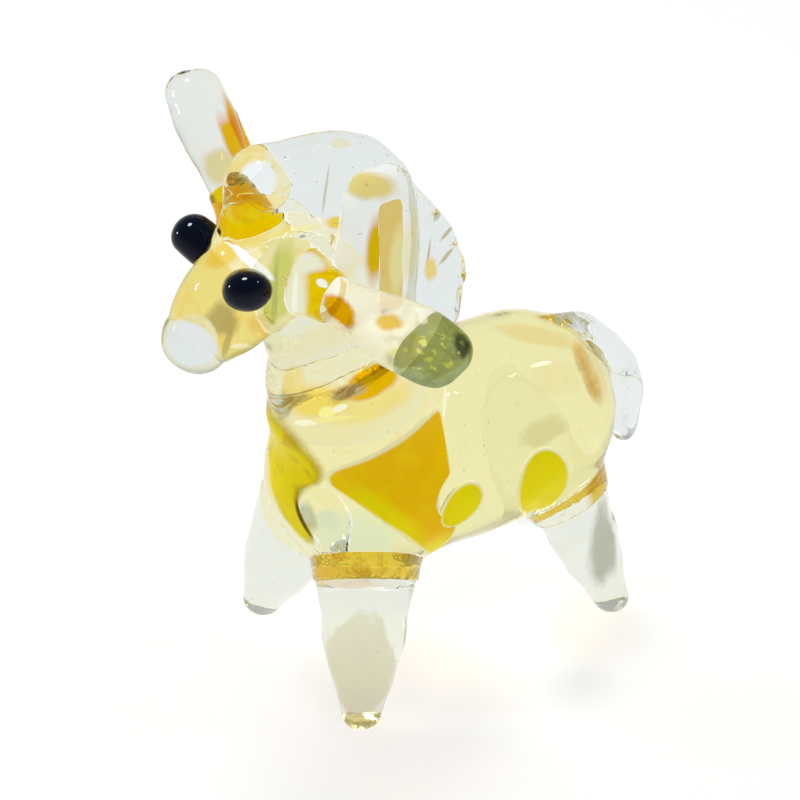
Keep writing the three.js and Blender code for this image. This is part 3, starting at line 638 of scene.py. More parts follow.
near_ear_glass = glass("hazy_ear_glass", (0.93, 0.92, 0.80), (0.90, 0.84, 0.56), cords=0.4, haze=0.1,
                       bump=0.0, bends=1.03, rim=(0.84, 0.83, 0.66), clearness=0.68, stains_and_painted_light=(
    mark((0.66, 0.24, 0.0), (5.2, -0.85, 25.7), 1.0, 0.5, -42, 1.6, edge=0.2),
    mark((0.76, 0.44, 0.04), (7.4, 0.5, 25.9), 0.6, 0.4, 0),
))
root_glass = glass("amber_root_glass", (0.70, 0.36, 0.0), (0.60, 0.20, 0.0), cords=0.7, cord_scale=0.7,
                   bends=1.12, shade=AMBER_SHADE, rim=(0.78, 0.56, 0.08), stains_and_painted_light=(
    # Painted highlights: a cream band down the head's back edge, with a white line in it.
    mark((0.82, 0.80, 0.50), (3.0, -2.0, 25.4), 0.55, 1.8, -8, 1.4),
    mark(PAINTED_GLINT, (3.0, -2.0, 25.4), 0.13, 1.4, -4, 1.4, edge=0.3),
    mark((0.82, 0.82, 0.62), (2.6, -1.2, 27.0), 0.9, 0.5, 0, 1.4),
    # Painted highlight: a white glint on the left knot.
    mark(PAINTED_GLINT, (3.75, -0.95, 26.4), 0.28, 0.18, -30, 1.0, edge=0.2),
    mark((0.88, 0.82, 0.50), (-0.6, -1.7, 28.2), 0.75, 0.9, 20, 1.6, ragged=0.5),
))
ears = []
for side, name, turn, length, width in (
    (1, "left", LEFT_EAR_TURN, LEFT_EAR_LENGTH, LEFT_EAR_WIDTH),
    (-1, "right", RIGHT_EAR_TURN, RIGHT_EAR_LENGTH, RIGHT_EAR_WIDTH),
):
    aim = ear_aim(side, turn)
    bar = ear_rod(aim, length, width)
    bar_field = rod_field(bar)
    wrap(f"{name}_ear_knot", f"{name}_ear_root", root_glass, f"{name}_ear", bar, bar_field,
         ROOT_SWELL, head_field, EAR_ROOT_LENGTH, 64)
    ears.append((aim, bar, bar_field))
(left_aim, left_bar, left_field), (right_aim, right_bar, right_field) = ears

green_from = LEFT_EAR_LENGTH - GREEN_LENGTH
green_glass = glass("olive_green_glass", (0.36, 0.41, 0.18), (0.19, 0.23, 0.06), cords=0.6, cord_scale=0.5,
                    haze=0.16, bump=0.1, bends=1.08, shade=(0.5, 0.6, 0.4), rim=(0.30, 0.34, 0.20), stains_and_painted_light=(
    stain_or_light_blot((0.24, 0.29, 0.10), (8.6, 2.4, 25.9), (1.6, 1.6, 0.7), strength=0.8),
    stain_or_light_blot((0.015, 0.02, 0.02), (9.9, 3.0, 25.2), (0.8, 0.5, 0.6), edge=0.4),
    stain_or_light_blot((0.80, 0.92, 0.16), (9.9, 1.4, 25.2), (1.4, 1.5, 0.6), edge=0.2, flecks=2.6),
    # Painted highlight: a pale spot at the green end's upper left.
    mark((0.80, 0.84, 0.74), (7.95, 2.0, 25.8), 0.18, 0.18, 0, edge=0.4),
))


def past_green(p):
    """How far points lie beyond the place where the left ear turns green."""
    return (p - ear_start) @ left_aim - green_from


clear_part = rod_grid(part_of(left_bar, 0, green_from + GREEN_OVERLAP), 80, 10)
gather("left_ear_rod", "left_ear", near_ear_glass, clear_part, left_field, "left_ear",
       lambda p: np.maximum(left_field(p), past_green(p)))
green_part = rod_grid(part_of(left_bar, green_from - GREEN_OVERLAP, LEFT_EAR_LENGTH), 80, 16)
gather("left_ear_green_tip", "left_ear_green_end", green_glass, green_part, left_field,
       "left_ear", lambda p: np.maximum(left_field(p), -past_green(p)))

to_back_edge = np.array(BACKWARDS) - right_aim * right_aim[1]
to_back_edge /= np.linalg.norm(to_back_edge)
stripe_middle = (ear_start + right_aim * (RIGHT_EAR_LENGTH - RIGHT_EAR_WIDTH / 2 - STRIPE_LENGTH / 2)
                 + to_back_edge * ((RIGHT_EAR_WIDTH - STRIPE_WIDTH) / 2 + STRIPE_PROUD))
stripe_half = right_aim * STRIPE_LENGTH / 2
stripe_rod = rod([stripe_middle - stripe_half, stripe_middle + stripe_half], [
    (0, STRIPE_START_RADIUS), (0.35, STRIPE_WIDTH / 2), (0.7, STRIPE_WIDTH / 2), (1, STRIPE_END_RADIUS),
])
ear_glass = glass("clear_ear_glass", (0.77, 0.81, 0.78), (0.80, 0.80, 0.60), cords=0.4, bump=0.05,
                  bends=1.22, rim=(0.58, 0.55, 0.26), stains_and_painted_light=(
    stain_or_light_blot((0.60, 0.44, 0.06), (-3.9, -2.0, 28.9), (1.0, 0.9, 0.8), strength=0.9),
    stain_or_light_blot((0.62, 0.22, 0.0), stripe_middle - right_aim * 0.6, (2.9, 0.62, 1.6), edge=0.15, ragged=0.3,
         turn=(0, RIGHT_EAR_TURN[1], 0)),
))
gather("right_ear_paddle", "right_ear", ear_glass, rod_grid(right_bar, 90, 18), right_field)
stripe_glass = glass("amber_stripe_glass", AMBER, DEEP_AMBER, cords=0.8, cord_scale=0.6, bump=0.2, bends=1.22,
                     shade=AMBER_SHADE)
gather("right_ear_amber_thread", "right_ear_stripe", stripe_glass, rod_grid(stripe_rod, 40, 8),
       rod_field(stripe_rod), "right_ear")

# Mane. A fan of clear glass on the middle plane, pressed flat while soft and crimped at its edge with
# a ribbed tool, on a band of yellow glass that was run along the crest first.

MANE_THICKNESS = 2.0
MANE_EDGE_ROUND = 0.7
MANE_CENTRE_BACK = 1.6
MANE_CENTRE_DROP = 2.2
MANE_FRONT = math.radians(150)
MANE_WITHERS = math.radians(-50)
MANE_REACHES = (5.2, 8.3, 8.1, 7.4, 6.3, 7.0, 8.2, 8.2)
MANE_ROOT_HEIGHT = 1.05
HIDDEN_REACH = 2.0
SEAM = 0.6
RIM_SLOPE = 0.96
CRIMPS = 13
CRIMP_DEPTH = 0.2
CRIMP_RUN = 2.6
LEAST_CRIMP = 0.15
BAND_BALLS = 90
BAND_LIFT = 0.45
BAND_RADIUS = 0.4
BAND_FLAT = 0.3
BAND_MOST = 2.0

mane_centre = np.array([neck_top[1] + MANE_CENTRE_BACK, neck_top[2] - MANE_CENTRE_DROP])
fan_middle = np.array([0, *mane_centre])
reach_angles = np.linspace(MANE_FRONT, MANE_WITHERS, len(MANE_REACHES))


def in_turn(angle):
    """An angle brought into the one turn that starts a seam's way before the withers."""
    return np.mod(angle - MANE_WITHERS + SEAM, 2 * math.pi) + MANE_WITHERS - SEAM


def mane_reach(angle):
    """The fan's reach in a direction: a smooth curve through its reaches, and short where the neck hides it.
    From stop to stop it is the cubic with the slopes that each stop's neighbours give."""
    a = np.concatenate([reach_angles[::-1], [MANE_FRONT + 0.5, MANE_WITHERS + 2 * math.pi - 0.5]])
    r = np.tile(np.concatenate([MANE_REACHES[::-1], [HIDDEN_REACH, HIDDEN_REACH]]), 3)
    a = np.concatenate([a - 2 * math.pi, a, a + 2 * math.pi])
    slope = np.zeros(len(a))
    slope[1:-1] = (r[2:] - r[:-2]) / (a[2:] - a[:-2])
    i = np.clip(np.searchsorted(a, angle, side="right") - 1, 1, len(a) - 3)
    step = a[i + 1] - a[i]
    s = (angle - a[i]) / step
    return ((2 * s**3 - 3 * s**2 + 1) * r[i] + (s**3 - 2 * s**2 + s) * slope[i] * step
            + (3 * s**2 - 2 * s**3) * r[i + 1] + (s**3 - s**2) * slope[i + 1] * step)


def mane_field(p):
    """Distance to a flat fan with round edges: out of its outline and off its faces, joined by a quarter
    round. Towards its edge the faces are pressed in by narrow crimps, a cosine of the angle to the fourth
    power, which grow faint towards the front."""
    y, z = p[:, 1] - mane_centre[0], p[:, 2] - mane_centre[1]
    angle = in_turn(np.arctan2(z, y))
    beyond = (np.hypot(y, z) - mane_reach(angle)) * RIM_SLOPE + MANE_EDGE_ROUND
    ridge = 0.5 + 0.5 * np.cos((angle - MANE_FRONT) / (MANE_FRONT - MANE_WITHERS) * 2 * math.pi * CRIMPS)
    pressed = np.clip(1 + (beyond - MANE_EDGE_ROUND) / CRIMP_RUN, 0, 1) ** 2
    pressed *= np.clip(1.3 - angle / 1.2, LEAST_CRIMP, 1)
    off = np.abs(p[:, 0]) - (MANE_THICKNESS / 2 - MANE_EDGE_ROUND - CRIMP_DEPTH * pressed * ridge**4)
    return (np.hypot(np.maximum(beyond, 0), np.maximum(off, 0)) + np.minimum(np.maximum(beyond, off), 0)
            - MANE_EDGE_ROUND)


def mane_grid(around=260, face_rows=34, edge_rows=18):
    """The fan's skin: from the middle of its left face out to the edge, round the edge, and back in along
    its right face."""
    angle = np.linspace(0, 2 * math.pi, around, endpoint=False)
    rim = mane_reach(in_turn(angle)) - MANE_EDGE_ROUND
    share = np.linspace(0, 1, face_rows) ** 0.8
    turn = np.linspace(0, math.pi, edge_rows + 2)[1:-1]
    spread = np.concatenate([share, np.ones(edge_rows), share[::-1]])
    lean = np.concatenate([np.zeros(face_rows), turn, np.full(face_rows, math.pi)])
    radial = np.stack([np.zeros(around), np.cos(angle), np.sin(angle)], axis=1)[None]
    sideways = np.array(ACROSS) * np.cos(lean)[:, None, None]
    start = fan_middle + radial * (spread[:, None] * rim[None])[..., None]
    start = start + sideways * (MANE_THICKNESS / 2 - MANE_EDGE_ROUND)
    out = radial * np.sin(lean)[:, None, None] + sideways
    return start, out, np.full(start.shape[:2], MANE_EDGE_ROUND)


# Short brown strokes where the ribbed tool bit, amber at the mane's two ends, and a painted white glint.
STROKE = (0.34, 0.27, 0.10)
mane_glass = glass("clear_mane_glass", (0.75, 0.80, 0.79), (0.74, 0.78, 0.74), cords=0.5, seeds=0.9,
                   bump=0.06, bends=1.16, stains_and_painted_light=(
    mark((0.78, 0.68, 0.30), (0.6, 1.9, 31.4), 0.5, 0.22, 0, strength=0.8),
    mark(STROKE, (0.8, 7.1, 25.9), 0.14, 0.42, -20, edge=0.4),
    mark(STROKE, (0.85, 7.6, 24.6), 0.5, 0.08, 50, edge=0.4),
    mark(STROKE, (1.0, 7.5, 23.4), 0.5, 0.09, 50, edge=0.4),
    mark(STROKE, (1.0, 6.45, 23.7), 0.06, 0.9, -8, edge=0.4),
    mark(STROKE, (0.4, 4.8, 30.1), 0.3, 0.08, -40, edge=0.4),
    mark(STROKE, (0.9, 5.6, 28.6), 0.16, 0.05, 30, edge=0.4),
    mark(STROKE, (1.0, -1.1, 30.4), 0.2, 0.08, -20, edge=0.4),
    mark((0.42, 0.38, 0.26), (1.0, 0.85, 29.4), 0.06, 1.3, -9, edge=0.4),
    mark((0.78, 0.46, 0.06), (1.0, 6.6, 22.9), 0.3, 0.6, 0),
    mark((0.78, 0.46, 0.01), (1.0, 1.4, 27.4), 0.5, 0.3, 0),
    mark((0.76, 0.44, 0.0), (0.5, -3.4, 29.9), 0.45, 0.8, 10, 2.0, strength=0.5),
    # Painted highlight: a white glint.
    mark(PAINTED_GLINT, (1.0, 0.41, 27.82), 0.2, 0.16, 0, edge=0.3),
))
gather("mane_fan", "mane", mane_glass, mane_grid(), mane_field)


def crest(p):
    """Distance to the crest that the mane stands on: the nearer of the neck and the head."""
    return np.minimum(neck_field(p), head_field(p))


# The band is a row of balls that lies at a small height over the crest.
root_turn = np.linspace(MANE_FRONT - 0.1, MANE_WITHERS + 0.25, BAND_BALLS)
root_aim = np.stack([np.zeros_like(root_turn), np.cos(root_turn), np.sin(root_turn)], axis=1)
root_out = np.full(BAND_BALLS, 0.5)
for _ in range(30):
    root_out -= (crest(fan_middle + root_aim * root_out[:, None]) - BAND_LIFT) * 0.8
root_line = fan_middle + root_aim * root_out[:, None]
root_tangent = np.gradient(root_line, axis=0)
root_tangent /= np.linalg.norm(root_tangent, axis=1)[:, None]
root_rod = {"centre": root_line, "tangent": root_tangent, "radius": np.full(BAND_BALLS, BAND_RADIUS),
            "flat": np.full(BAND_BALLS, BAND_FLAT), "side": np.tile(ACROSS, (BAND_BALLS, 1))}
root_field = ring_field(mane_field, ROOT_SWELL, crest, MANE_ROOT_HEIGHT)
start, out, first = rod_grid(root_rod, 56, 8)
first = settle(start, out, first, root_field, 14)
band_glass = glass("yellow_band_glass", (0.82, 0.81, 0.60), (0.82, 0.72, 0.34), cords=0.7, cord_scale=0.6,
                   bends=1.08, shade=(0.85, 0.7, 0.3), rim=(0.70, 0.66, 0.40), stains_and_painted_light=(
    mark((0.84, 0.66, 0.12), (0.9, -3.2, 28.2), 0.9, 0.6, 10, 1.6, strength=0.9),
    mark((0.90, 0.80, 0.30), (1.16, -1.17, 27.84), 1.7, 0.2, 12, edge=0.3),
    mark((0.60, 0.48, 0.20), (1.15, 1.6, 26.0), 0.16, 0.6, 12, edge=0.3),
))
gather("mane_root_run", "mane_root_band", band_glass,
       (start, out, np.clip(first, LEAST_REACH, BAND_MOST)), root_field, "mane")

# Forelock. A round dab of clear glass with an amber rim. It was touched onto the crest at the front of
# the mane, and drew itself round in the flame.

FORELOCK_RADIUS = 1.25
FORELOCK_WIDTH = 2.9
FORELOCK_ANGLE = math.radians(116)

lock_out = MANE_REACHES[1] - FORELOCK_RADIUS / 2
forelock_at = np.array([0, mane_centre[0] + lock_out * math.cos(FORELOCK_ANGLE),
                        mane_centre[1] + lock_out * math.sin(FORELOCK_ANGLE)])
half_span = np.array([FORELOCK_WIDTH / 2, 0, 0])
forelock_rod = rod([forelock_at - half_span, forelock_at + half_span], [(0, FORELOCK_RADIUS)],
                   wide=BACKWARDS, count=40)
forelock_glass = glass("forelock_glass", (0.84, 0.74, 0.34), (0.80, 0.60, 0.12), cords=0.8, cord_scale=0.7,
                       bump=0.1, bends=1.14, stains_and_painted_light=(
    mark((0.86, 0.90, 0.92), (1.0, -2.7, 31.15), 0.85, 0.9, 0, 5.0, edge=0.1, ragged=0.25),
))
gather("forelock_dab", "forelock", forelock_glass, rod_grid(forelock_rod, 64, 20),
       rod_field(forelock_rod))

# Side lock. A leaf of clear glass laid down the left face of the mane, with an amber and yellow
# thread along it.

LOCK_LENGTH = 9.2
LOCK_WIDTH = 4.0
LOCK_END_WIDTH = 3.4
LOCK_THICKNESS = 1.3
LOCK_END_THICKNESS = 1.2
LOCK_BACK = 3.7
LOCK_TOP_DROP = 1.6
LOCK_STANDOFF = 0.25
LOCK_STRIPE_WIDTH = 1.5
LOCK_STRIPE_LENGTH = 6.8
LOCK_STRIPE_BACK = 0.15
THREAD_SINK = 0.25
THREAD_THICKNESS = 0.66

lock_top = np.array([MANE_THICKNESS / 2 + LOCK_STANDOFF + LOCK_THICKNESS / 2, neck_top[1] + LOCK_BACK,
                     mane_centre[1] + MANE_REACHES[2] - LOCK_TOP_DROP])
lock_rod = rod([lock_top, lock_top - [0, 0, LOCK_LENGTH]],
               [(0, LOCK_END_WIDTH / 2), (0.5, LOCK_WIDTH / 2), (1, LOCK_END_WIDTH / 2)],
               [(0, LOCK_END_THICKNESS / 2), (0.5, LOCK_THICKNESS / 2), (1, LOCK_END_THICKNESS / 2)],
               wide=BACKWARDS)
lock_glass = glass("clear_lock_glass", (0.84, 0.85, 0.80), (0.84, 0.82, 0.64), cords=0.5, haze=0.12,
                   bump=0.05, bends=1.08, clearness=0.82, stains_and_painted_light=(
    mark((0.68, 0.48, 0.07), (2.3, 2.5, 29.8), 1.35, 0.65, -8, ragged=0.6),
    mark((0.56, 0.26, 0.0), (2.55, 2.6, 26.3), 0.45, 3.0, 0, edge=0.35, ragged=0.2),
    mark((0.82, 0.72, 0.28), (2.5, 4.5, 25.6), 0.35, 2.5, 0, strength=0.8),
    mark((0.84, 0.76, 0.36), (2.5, 3.6, 22.9), 0.9, 0.4, 25, strength=0.8),
))
gather("side_lock_leaf", "side_lock", lock_glass, rod_grid(lock_rod, 90, 20),
       rod_field(lock_rod))

thread_middle = lock_top + [LOCK_THICKNESS / 2, LOCK_STRIPE_BACK, -LOCK_LENGTH / 2]
thread_half = np.array([0, 0, LOCK_STRIPE_LENGTH / 2])
sunk = thread_middle - [THREAD_SINK, 0, 0]
thread_rod = rod([sunk + thread_half, sunk - thread_half], [(0, LOCK_STRIPE_WIDTH / 2)],
                 [(0, THREAD_THICKNESS / 2)], wide=BACKWARDS, count=70)
thread_glass = glass("amber_thread_glass", (0.58, 0.31, 0.03), (0.58, 0.38, 0.05), cords=0.5, cord_scale=0.5,
                     haze=0.12, bump=0.05, bends=1.06, shade=AMBER_SHADE, rim=(0.74, 0.60, 0.2), stains_and_painted_light=(
    mark((0.64, 0.52, 0.10), thread_middle + [0, 0.42, 0], 0.4, 4.0, 0, edge=0.4),
))
gather("side_lock_thread", "side_lock_stripe", thread_glass, rod_grid(thread_rod, 48, 12),
       rod_field(thread_rod), "side_lock")

# Legs. Cones of clear glass pulled out of the barrel's underside, each on an amber wrap, and stood on
# their soft ends, which left flat feet.

FOOT_SPACING = 16.2
FOOT_TRIM = 0.45
LEG_COLLAR_REACH = 1.1
LEG_COLLAR_SWELL = 0.12
CLOSED_OVER = "right_hind_leg"
LEGS = {
    "front": {"hip": (2.3, 2.2, 10.0), "foot": (5.35, 0.0, 0.0), "radii": (1.7, 2.5, 2.2, 0.95)},
    "hind": {"hip": (2.2, 13.0, 10.0), "foot": (4.1, FOOT_SPACING, 0.0), "radii": (1.5, 2.1, 1.8, 0.85)},
}
CLEAR_SHADE = (0.98, 0.98, 0.97)
leg_glass = glass("clear_leg_glass", (0.80, 0.83, 0.76), (0.80, 0.81, 0.68), cords=0.5, cord_scale=0.4,
                  seeds=0.3, bump=0.06, bends=1.22, shade=CLEAR_SHADE, rim=(0.76, 0.77, 0.68), stains_and_painted_light=(
    stain_or_light_blot((0.56, 0.52, 0.30), (5.9, -0.2, 3.9), (2.0, 1.9, 3.2), edge=0.08, strength=0.8, ragged=0.9),
    stain_or_light_blot((0.14, 0.14, 0.07), (5.0, 14.9, 5.0), (1.2, 0.8, 2.6), strength=0.8, ragged=0.9),
    stain_or_light_blot((0.84, 0.66, 0.16), (5.9, 0.0, 0.5), (1.2, 1.2, 0.6)),
))
leg_wrap_glass = glass("leg_wrap_glass", (0.66, 0.38, 0.005), (0.40, 0.13, 0.0), cords=0.8, cord_scale=0.8,
                       bump=0.4, bends=1.25, shade=AMBER_SHADE, stains_and_painted_light=(
    stain_or_light_blot(CLEAR, (2.4, 2.2, 7.0), (1.9, 2.2, 2.0), edge=0.2),
    stain_or_light_blot((0.84, 0.84, 0.66), (3.6, 12.6, 7.6), (2.6, 1.6, 2.6), edge=0.2),
))
pale_wrap_glass = glass("pale_wrap_glass", PALE_YELLOW, (0.84, 0.72, 0.26), cords=0.5, bump=0.06,
                        bends=1.25)
far_leg_glass = glass("far_leg_glass", (0.78, 0.82, 0.80), (0.78, 0.80, 0.70), cords=0.5, cord_scale=0.4,
                      seeds=0.3, bump=0.04, one_way=True, bends=1.2, rim=(0.82, 0.84, 0.80),
                      shade=CLEAR_SHADE, stains_and_painted_light=(
    stain_or_light_blot((0.98, 0.99, 0.96), (-2.4, 13.4, 9.4), (4, 4, 4.6), edge=0.3, ragged=0.1),
))
far_wrap_glass = glass("far_wrap_glass", (0.95, 0.94, 0.82), (0.94, 0.90, 0.66), cords=0.5, bump=0.04,
                       one_way=True, bends=1.15, rim=(0.90, 0.87, 0.66), shade=CLEAR_SHADE)
for place, sizes in LEGS.items():
    for side, side_name in ((1, "left"), (-1, "right")):
        mirror = np.array([side, 1, 1])
        hip, foot = np.array(sizes["hip"]) * mirror, np.array(sizes["foot"]) * mirror
        aim = (foot - hip) / np.linalg.norm(foot - hip)
        top, thigh, calf, end = sizes["radii"]
        leg_rod = rod([hip, foot + aim * FOOT_TRIM], [(0, top), (0.22, thigh), (0.45, calf), (1, end)],
                      round_ends=(False, True))
        leg_field = rod_field(leg_rod)
        leg = f"{side_name}_{place}_leg"
        if leg == CLOSED_OVER:
            skin, band = far_leg_glass, far_wrap_glass
        else:
            skin, band = leg_glass, leg_wrap_glass if side > 0 else pale_wrap_glass
        gather(leg + "_cone", leg, skin, rod_grid(leg_rod, 84, 14), leg_field)
        wrap(leg + "_wrap", leg + "_collar", band, leg, leg_rod, leg_field, LEG_COLLAR_SWELL,
             body_field, LEG_COLLAR_REACH, 84)

# Tail. A strip of clear glass, pulled out of the top of the rump while it was soft, and let hang
# behind it until it set.

TAIL_ROOT_WIDTH = 1.8
TAIL_WIDTH = 3.0
TAIL_TIP_WIDTH = 2.5
TAIL_THICKNESS = 1.3
TAIL_TIP_THICKNESS = 1.17
TAIL_ROOT_ANGLE = math.radians(65)
TAIL_BEND_ANGLE = math.radians(35)
TAIL_ROOT_SINK = 0.85
TAIL_BEND_LIFT = 0.4
TAIL_STAND_OFF = 1.4
TAIL_HANG = 4.3


def around_rump(angle, lift):
    """A point over the rump's end, at an angle above level and a height over its skin."""
    radius = RUMP_RADIUS + lift
    return body_end + [0, radius * math.cos(angle) - RUMP_RADIUS, radius * math.sin(angle)]


tail_back = around_rump(0, TAIL_STAND_OFF)
tail_rod = rod([around_rump(TAIL_ROOT_ANGLE, -TAIL_ROOT_SINK), around_rump(TAIL_BEND_ANGLE, TAIL_BEND_LIFT),
                tail_back, tail_back - [0, 0, TAIL_HANG]],
               [(0, TAIL_ROOT_WIDTH / 2), (0.5, TAIL_WIDTH / 2), (1, TAIL_TIP_WIDTH / 2)],
               [(0, TAIL_THICKNESS / 2), (1, TAIL_TIP_THICKNESS / 2)], round_ends=(False, True), count=64)
tail_glass = glass("clear_tail_glass", (0.80, 0.84, 0.84), (0.80, 0.80, 0.72), cords=0.4, bump=0.1,
                   bends=1.25)
gather("tail_strip", "tail", tail_glass, rod_grid(tail_rod, 72, 16), rod_field(tail_rod))

# The flame. Where two gathers touch, it melts them into one skin: each surface is moved out to the
# smooth sum of all near ones. What a neighbour covers is marked as not open and drawn in a little. The
# feet end in flat faces with an edge all round, as soft glass does when it is stood on a plate.

MELT = 0.4
MOST_MELT = 0.6
WAVER = 0.03
MOST_SINK = 0.1
MELT_STEPS = 4
DRAWN_IN = 0.25
TOUCH = 1.0
TABLE_GAP = 0.02


def waver(p):
    """The uneven surface of drawn glass: three crossed slow waves, the same wherever two gathers meet."""
    x, y, z = p.T
    return WAVER * (np.sin(0.9 * x + 1.7 * z + 0.6) * np.sin(1.1 * y - 0.7 * z)
                    + 0.6 * np.sin(2.3 * y + 1.3 * x) * np.sin(1.9 * z + 0.4 * y)
                    + 0.4 * np.sin(3.1 * z - 2.2 * x + 1.0))


def melted(near, p):
    """The smooth least of the hosts' distances: minus a width times the log of the sum, over the hosts, of
    exp(-distance / width)."""
    hosts = {}
    for one in near:
        hosts[one["host"]] = np.minimum(hosts.get(one["host"], np.inf), one["field"](p))
    each = np.stack(list(hosts.values()))
    least = each.min(axis=0)
    return least - MELT * np.log(np.exp((least - each) / MELT).sum(axis=0))


def touching(low, high):
    """The clear gathers whose boxes come within a millimetre of a given box."""
    return [one for one in gathers
            if one["clear"] and np.all(one["low"] < high + TOUCH) and np.all(one["high"] > low - TOUCH)]


# Only over the far hind leg, which was set against the barrel cold, the barrel's skin stays closed.
for one in gathers:
    start, out, reach = one["grid"]
    near = touching(one["low"], one["high"])
    pool = [other for other in near if {one["host"], other["host"]} != {"body", CLOSED_OVER}]
    rivals = pool if one["host"] == "body" else near
    base, aim, own = start.reshape(-1, 3), out.reshape(-1, 3), reach.reshape(-1)
    r = own.copy()
    for _ in range(MELT_STEPS if one["clear"] else 0):
        r = np.clip(r - melted(pool, base + aim * r[:, None]), own - MOST_SINK, own + MOST_MELT)
    points = base + aim * r[:, None]
    others = np.min([other["claim"](points) for other in rivals if other is not one], axis=0)
    opened = others - one["claim"](points)
    points = points + aim * (waver(points) - np.clip(-opened, 0, DRAWN_IN))[:, None]
    points[:, 2] = np.maximum(points[:, 2], TABLE_GAP)
    mesh = one["piece"].data
    mesh.vertices.foreach_set("co", placed(per_vertex(points.reshape(start.shape))).ravel())
    if one["clear"]:
        write_on(one["piece"], "open", opened.reshape(reach.shape))
    mesh.update()
    middles = np.empty(3 * len(mesh.polygons), np.float32)
    mesh.polygons.foreach_get("center", middles)
    mesh.polygons.foreach_set("use_smooth", middles[2::3] > 1.05 * TABLE_GAP * MM)

# Spots. Thin lenses of opaque orange and yellow glass, touched onto the barrel and melted flush, and a
# streak of amber on the rump.

SPOT_PROUD = 0.05
SPOT_DEPTH = 0.45
AXIS_ENDS = (3.6, 12.4)
LEAST_HEIGHT_SQUARE = 0.4
PALE_RIM = (1.0, 0.96, 0.55)
CHEST_RISE = math.radians(6)


def spot(name, node, slot, material, edge, axis_point, right, up, middle=None, rows=16):
    """A lens on the barrel. Its outline lies in a plane, each of its rings is a share of it about its middle,
    and each point is carried onto the fused skin along the line from the barrel's axis."""
    centre = edge.mean(axis=0) if middle is None else np.array(middle)
    share = np.sin(np.linspace(0, math.pi / 2, rows))
    flat = centre + (edge - centre)[None] * share[:, None, None]
    face = np.cross(right, up)
    over = axis_point + right * flat[..., :1] + up * flat[..., 1:]
    on_axis = np.zeros_like(over)
    on_axis[..., 1] = np.clip(over[..., 1], *AXIS_ENDS)
    on_axis[..., 2] = BODY_AXIS_HEIGHT + (on_axis[..., 1] + CHEST_AHEAD) / BODY_LENGTH * BODY_RISE
    across = ((over - on_axis) @ face)[..., None]
    outward = over - face * across - on_axis
    height = np.sqrt(np.maximum(WAIST_RADIUS**2 - (outward**2).sum(axis=-1), LEAST_HEIGHT_SQUARE))
    aim = outward + face * height[..., None]
    aim /= np.linalg.norm(aim, axis=-1)[..., None]
    base, rays = on_axis.reshape(-1, 3), aim.reshape(-1, 3)
    rough = base + rays * WAIST_RADIUS
    near = touching(rough.min(axis=0), rough.max(axis=0))
    r = settle(base, rays, np.full(len(base), WAIST_RADIUS), lambda p: melted(near, p), 9)
    r = (r + waver(base + rays * r[:, None])).reshape(over.shape[:2])
    lens = np.sqrt(np.maximum(1 - share**2, 0))[:, None]
    outer = on_axis + aim * (r + SPOT_PROUD * np.minimum(3 * lens, 1))[..., None]
    inner = on_axis + aim * (r - SPOT_DEPTH * lens)[..., None]
    piece = skin_mesh(name, np.concatenate([outer, inner[::-1][1:]]))
    from_edge = np.linalg.norm(edge - centre, axis=1)[None] * (1 - share)[:, None]
    write_on(piece, "from_edge", np.concatenate([from_edge, from_edge[::-1][1:]]))
    dress(piece, node, material)


def oval(length, height, lean=0.0):
    """An oval outline of two lengths, x = a cos t and y = b sin t, leaning by an angle."""
    turn = np.linspace(0, 2 * math.pi, 72, endpoint=False)
    x, y = np.cos(turn) * length / 2, np.sin(turn) * height / 2
    c, s = math.cos(lean), math.sin(lean)
    return np.stack([x * c - y * s, x * s + y * c], axis=1)


def outline(start, *stretches):
    """A closed outline. Each stretch gives its control points and its end. A point of it is found by
    drawing each pair of neighbours together by the same share, again and again, until one is left."""
    t = np.linspace(0, 1, 22, endpoint=False)[:, None]
    points = []
    for stretch in stretches:
        line = [np.array(p, float) for p in (start, *stretch)]
        while len(line) > 1:
            line = [(1 - t) * a + t * b for a, b in zip(line, line[1:])]
        points.append(line[0])
        start = stretch[-1]
    return np.vstack(points)


# A point in front, a point at the top, and a tongue that runs down towards the front leg.
FIN = outline((-3.3, 1.15), ((-1.3, -1.7), (1.7, -4.6)), ((2.7, -4.3), (2.62, -2.92)),
              ((1.3, -2.0), (1.15, -0.6), (2.42, 0.4)), ((2.55, 1.7), (2.72, 3.0)),
              ((2.75, 3.35), (2.5, 3.26)), ((-0.2, 2.45), (-2.6, 2.0)), ((-3.55, 1.8), (-3.3, 1.15)))
# Broad at the top, with a tail that runs down beside the left front leg.
BIB = outline((2.3, 3.0), ((2.9, 2.6), (2.6, 1.9)), ((1.8, 1.2), (1.7, 0.1)), ((2.0, -0.9), (2.55, -1.75)),
              ((2.5, -2.2), (1.9, -2.1)), ((0.0, -1.2), (-1.6, 1.0)), ((-2.6, 2.8), (-1.2, 3.5)),
              ((0.8, 4.1), (2.3, 3.0)))


def on_side(back, angle):
    """A place on the left side: the axis point, the way to the tail, and the way up along the skin."""
    share = (back + CHEST_AHEAD) / BODY_LENGTH
    point = np.array([0, back, BODY_AXIS_HEIGHT + share * BODY_RISE])
    return point, np.array(BACKWARDS), np.array([-math.sin(angle), 0, math.cos(angle)])


